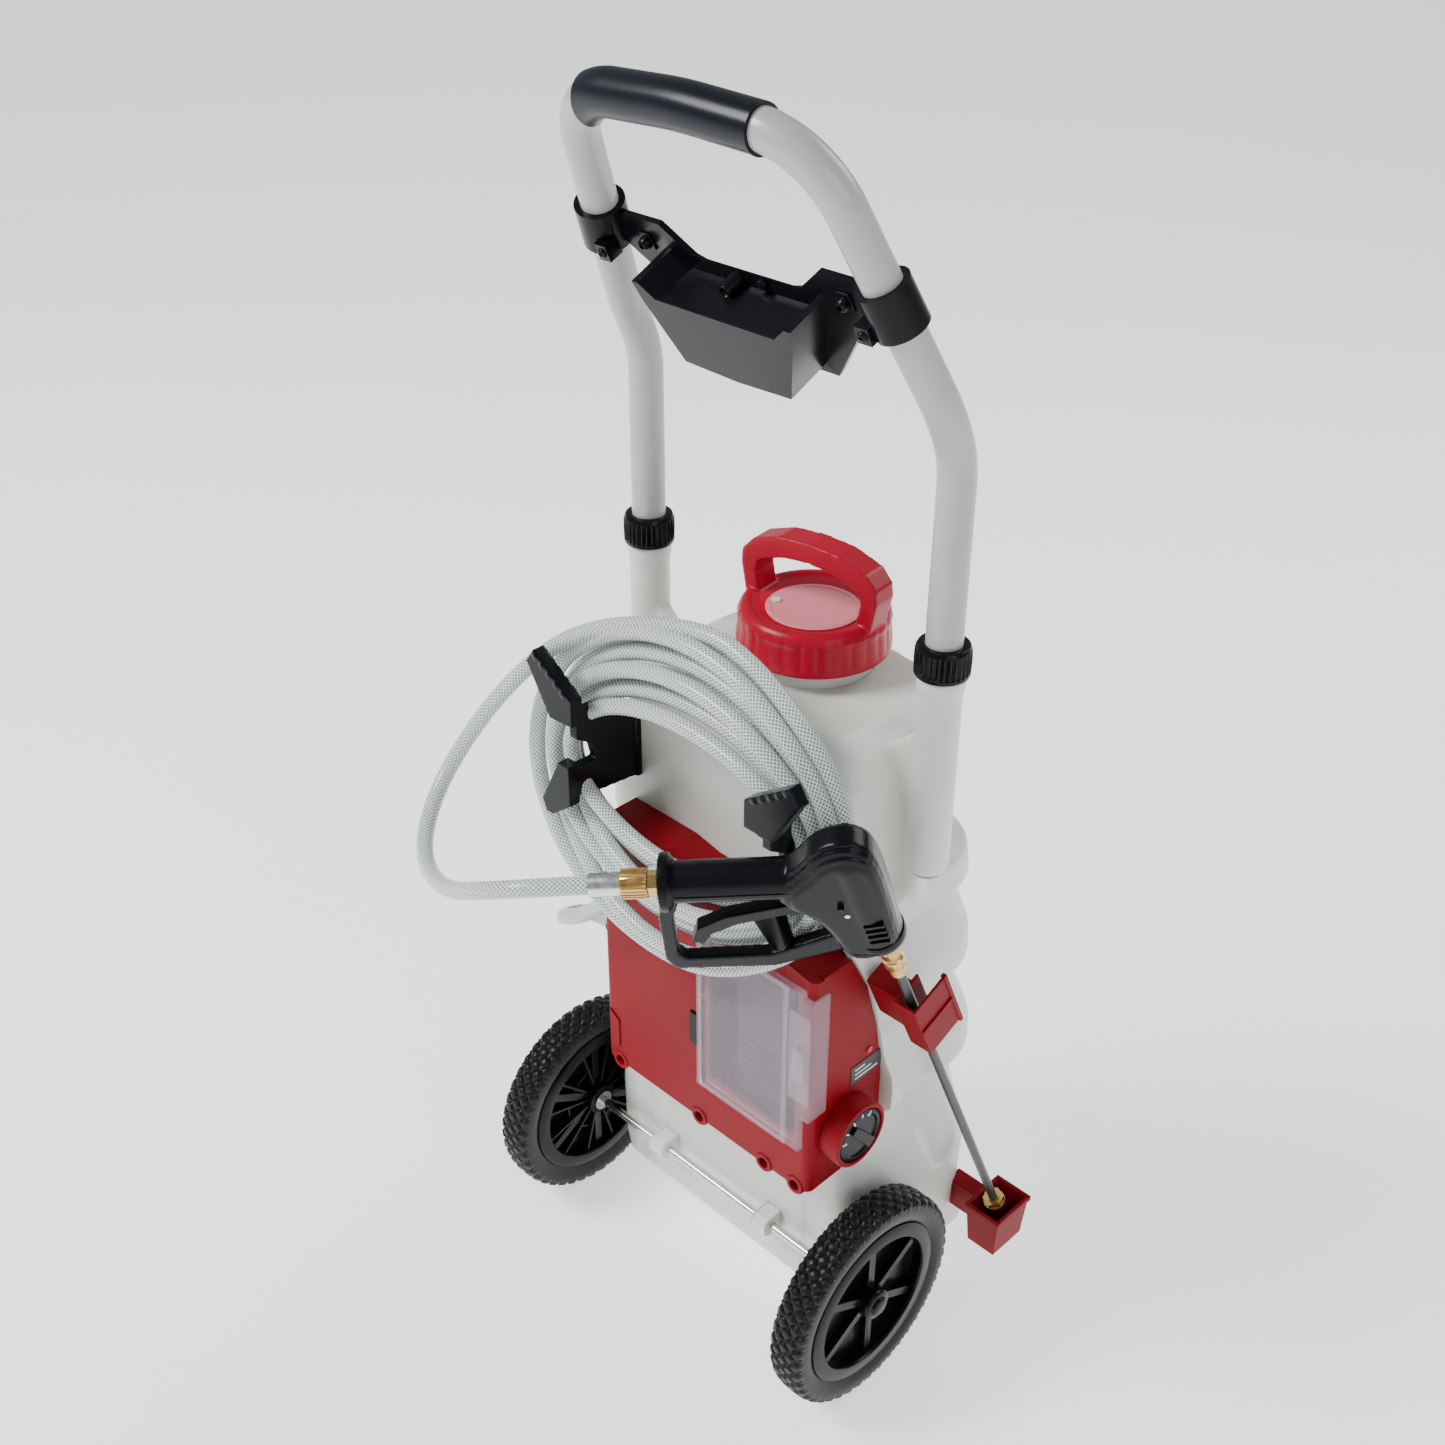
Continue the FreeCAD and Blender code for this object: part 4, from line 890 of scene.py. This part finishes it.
def fittings():
    """Swivel nut at the gun's butt and the coupler between gun and lance."""
    knurled("swivel_nut_skin", "swivel_nut", GRIP, [(6.1, 149.4), (10.4, 149.4), (11.2, 150.6), (11.2, 167.6),
                                                    (10.4, 168.9), (5.4, 168.9), (5.4, 158.4), (6.1, 158.4)],
            24, 0.9, "hose_nut")
    knurled("gun_coupler_skin", "gun_coupler", GUN @ facing_x(),
            [(4.1, 44), (6, 44), (6, 58), (10.4, 58), (11.2, 59.2), (11.2, 72.8), (10.4, 74), (8.4, 74.6),
             (8.4, 84), (7.6, 85), (7.6, 88), (8.6, 89), (8.6, 98), (7.4, 100), (6.5, 101), (6.5, 111),
             (5.6, 112), (4.1, 112)],
            20, 1.0, "chassis")


def clip_details():
    """Lips and a rib on the lance clip, and the rim and bracket screw of the nozzle cup."""
    shape = bmesh.new()
    block(shape, 148, 216, 27, 31, 9.4, 13.8, CLIP)
    block(shape, 178, 182, -10, 29, 12, 14.2, CLIP)
    from_bmesh("lance_clip_ribs", shape, "cover_red", "chassis", bevel=0.8)
    rim = bmesh.new()
    for x0, x1, y0, y1 in ((172.6, 211.4, 150.6, 154), (172.6, 211.4, 198, 201.4), (172.6, 176, 154, 198),
                           (208, 211.4, 154, 198)):
        block(rim, x0, x1, y0, y1, 87, 92.6)
    block(rim, 141, 176, 170, 184, 62, 66)
    from_bmesh("lance_cup_rim", rim, "cover_red", "chassis", bevel=0.8)


camera()
stage()
hose()
tank()
axle_saddles()
for side, suffix in ((1, "right"), (-1, "left")):
    tyre(side, suffix)
    wheel_details(side, suffix)
    collar(side, suffix)
    moulded("hose_hook_skin_" + suffix, cad_shape("hose_hook_" + suffix), 1.0, 5, "black_plastic", "chassis",
            replaced=("hose_hook_" + suffix,))
tray_details()
lid()
cover_details()
dial()
door_details()
battery()
gun_body()
moulded("trigger_skin", cad_shape("trigger"), 0.8, 5, "black_plastic", "trigger_lever", replaced=("trigger",))
gun_details()
fittings()
clip_details()

SKINS = {
    "chassis": [("pump_cover", "cover_red", 2.0), ("lance_clip", "cover_red", 1.0),
                ("lance_cup", "cover_red", 1.0), ("pump", "black_plastic", 1.5)],
    "rocker": [("rocker_switch", "black_plastic", 0.6)],
    "wheel_left": [("wheel_rim_left", "black_plastic", 1.0)],
    "wheel_right": [("wheel_rim_right", "black_plastic", 1.0)],
    "handle": [("handle_tray", "black_plastic", 2.2), ("tube_clamp_left", "black_plastic", 1.4),
               ("tube_clamp_right", "black_plastic", 1.4), ("hand_grip", "grip", 2.2)],
    "door": [("battery_door", "door_clear", 1.0)],
}
for body, skins in SKINS.items():
    for node, material, bevel in skins:
        softened(node, material, body, bevel)
for row in frame["record"]["subparts"]:
    if not frame["nodes"][row["node"]].hide_render:
        repaint(row["node"], row["material_slot"])
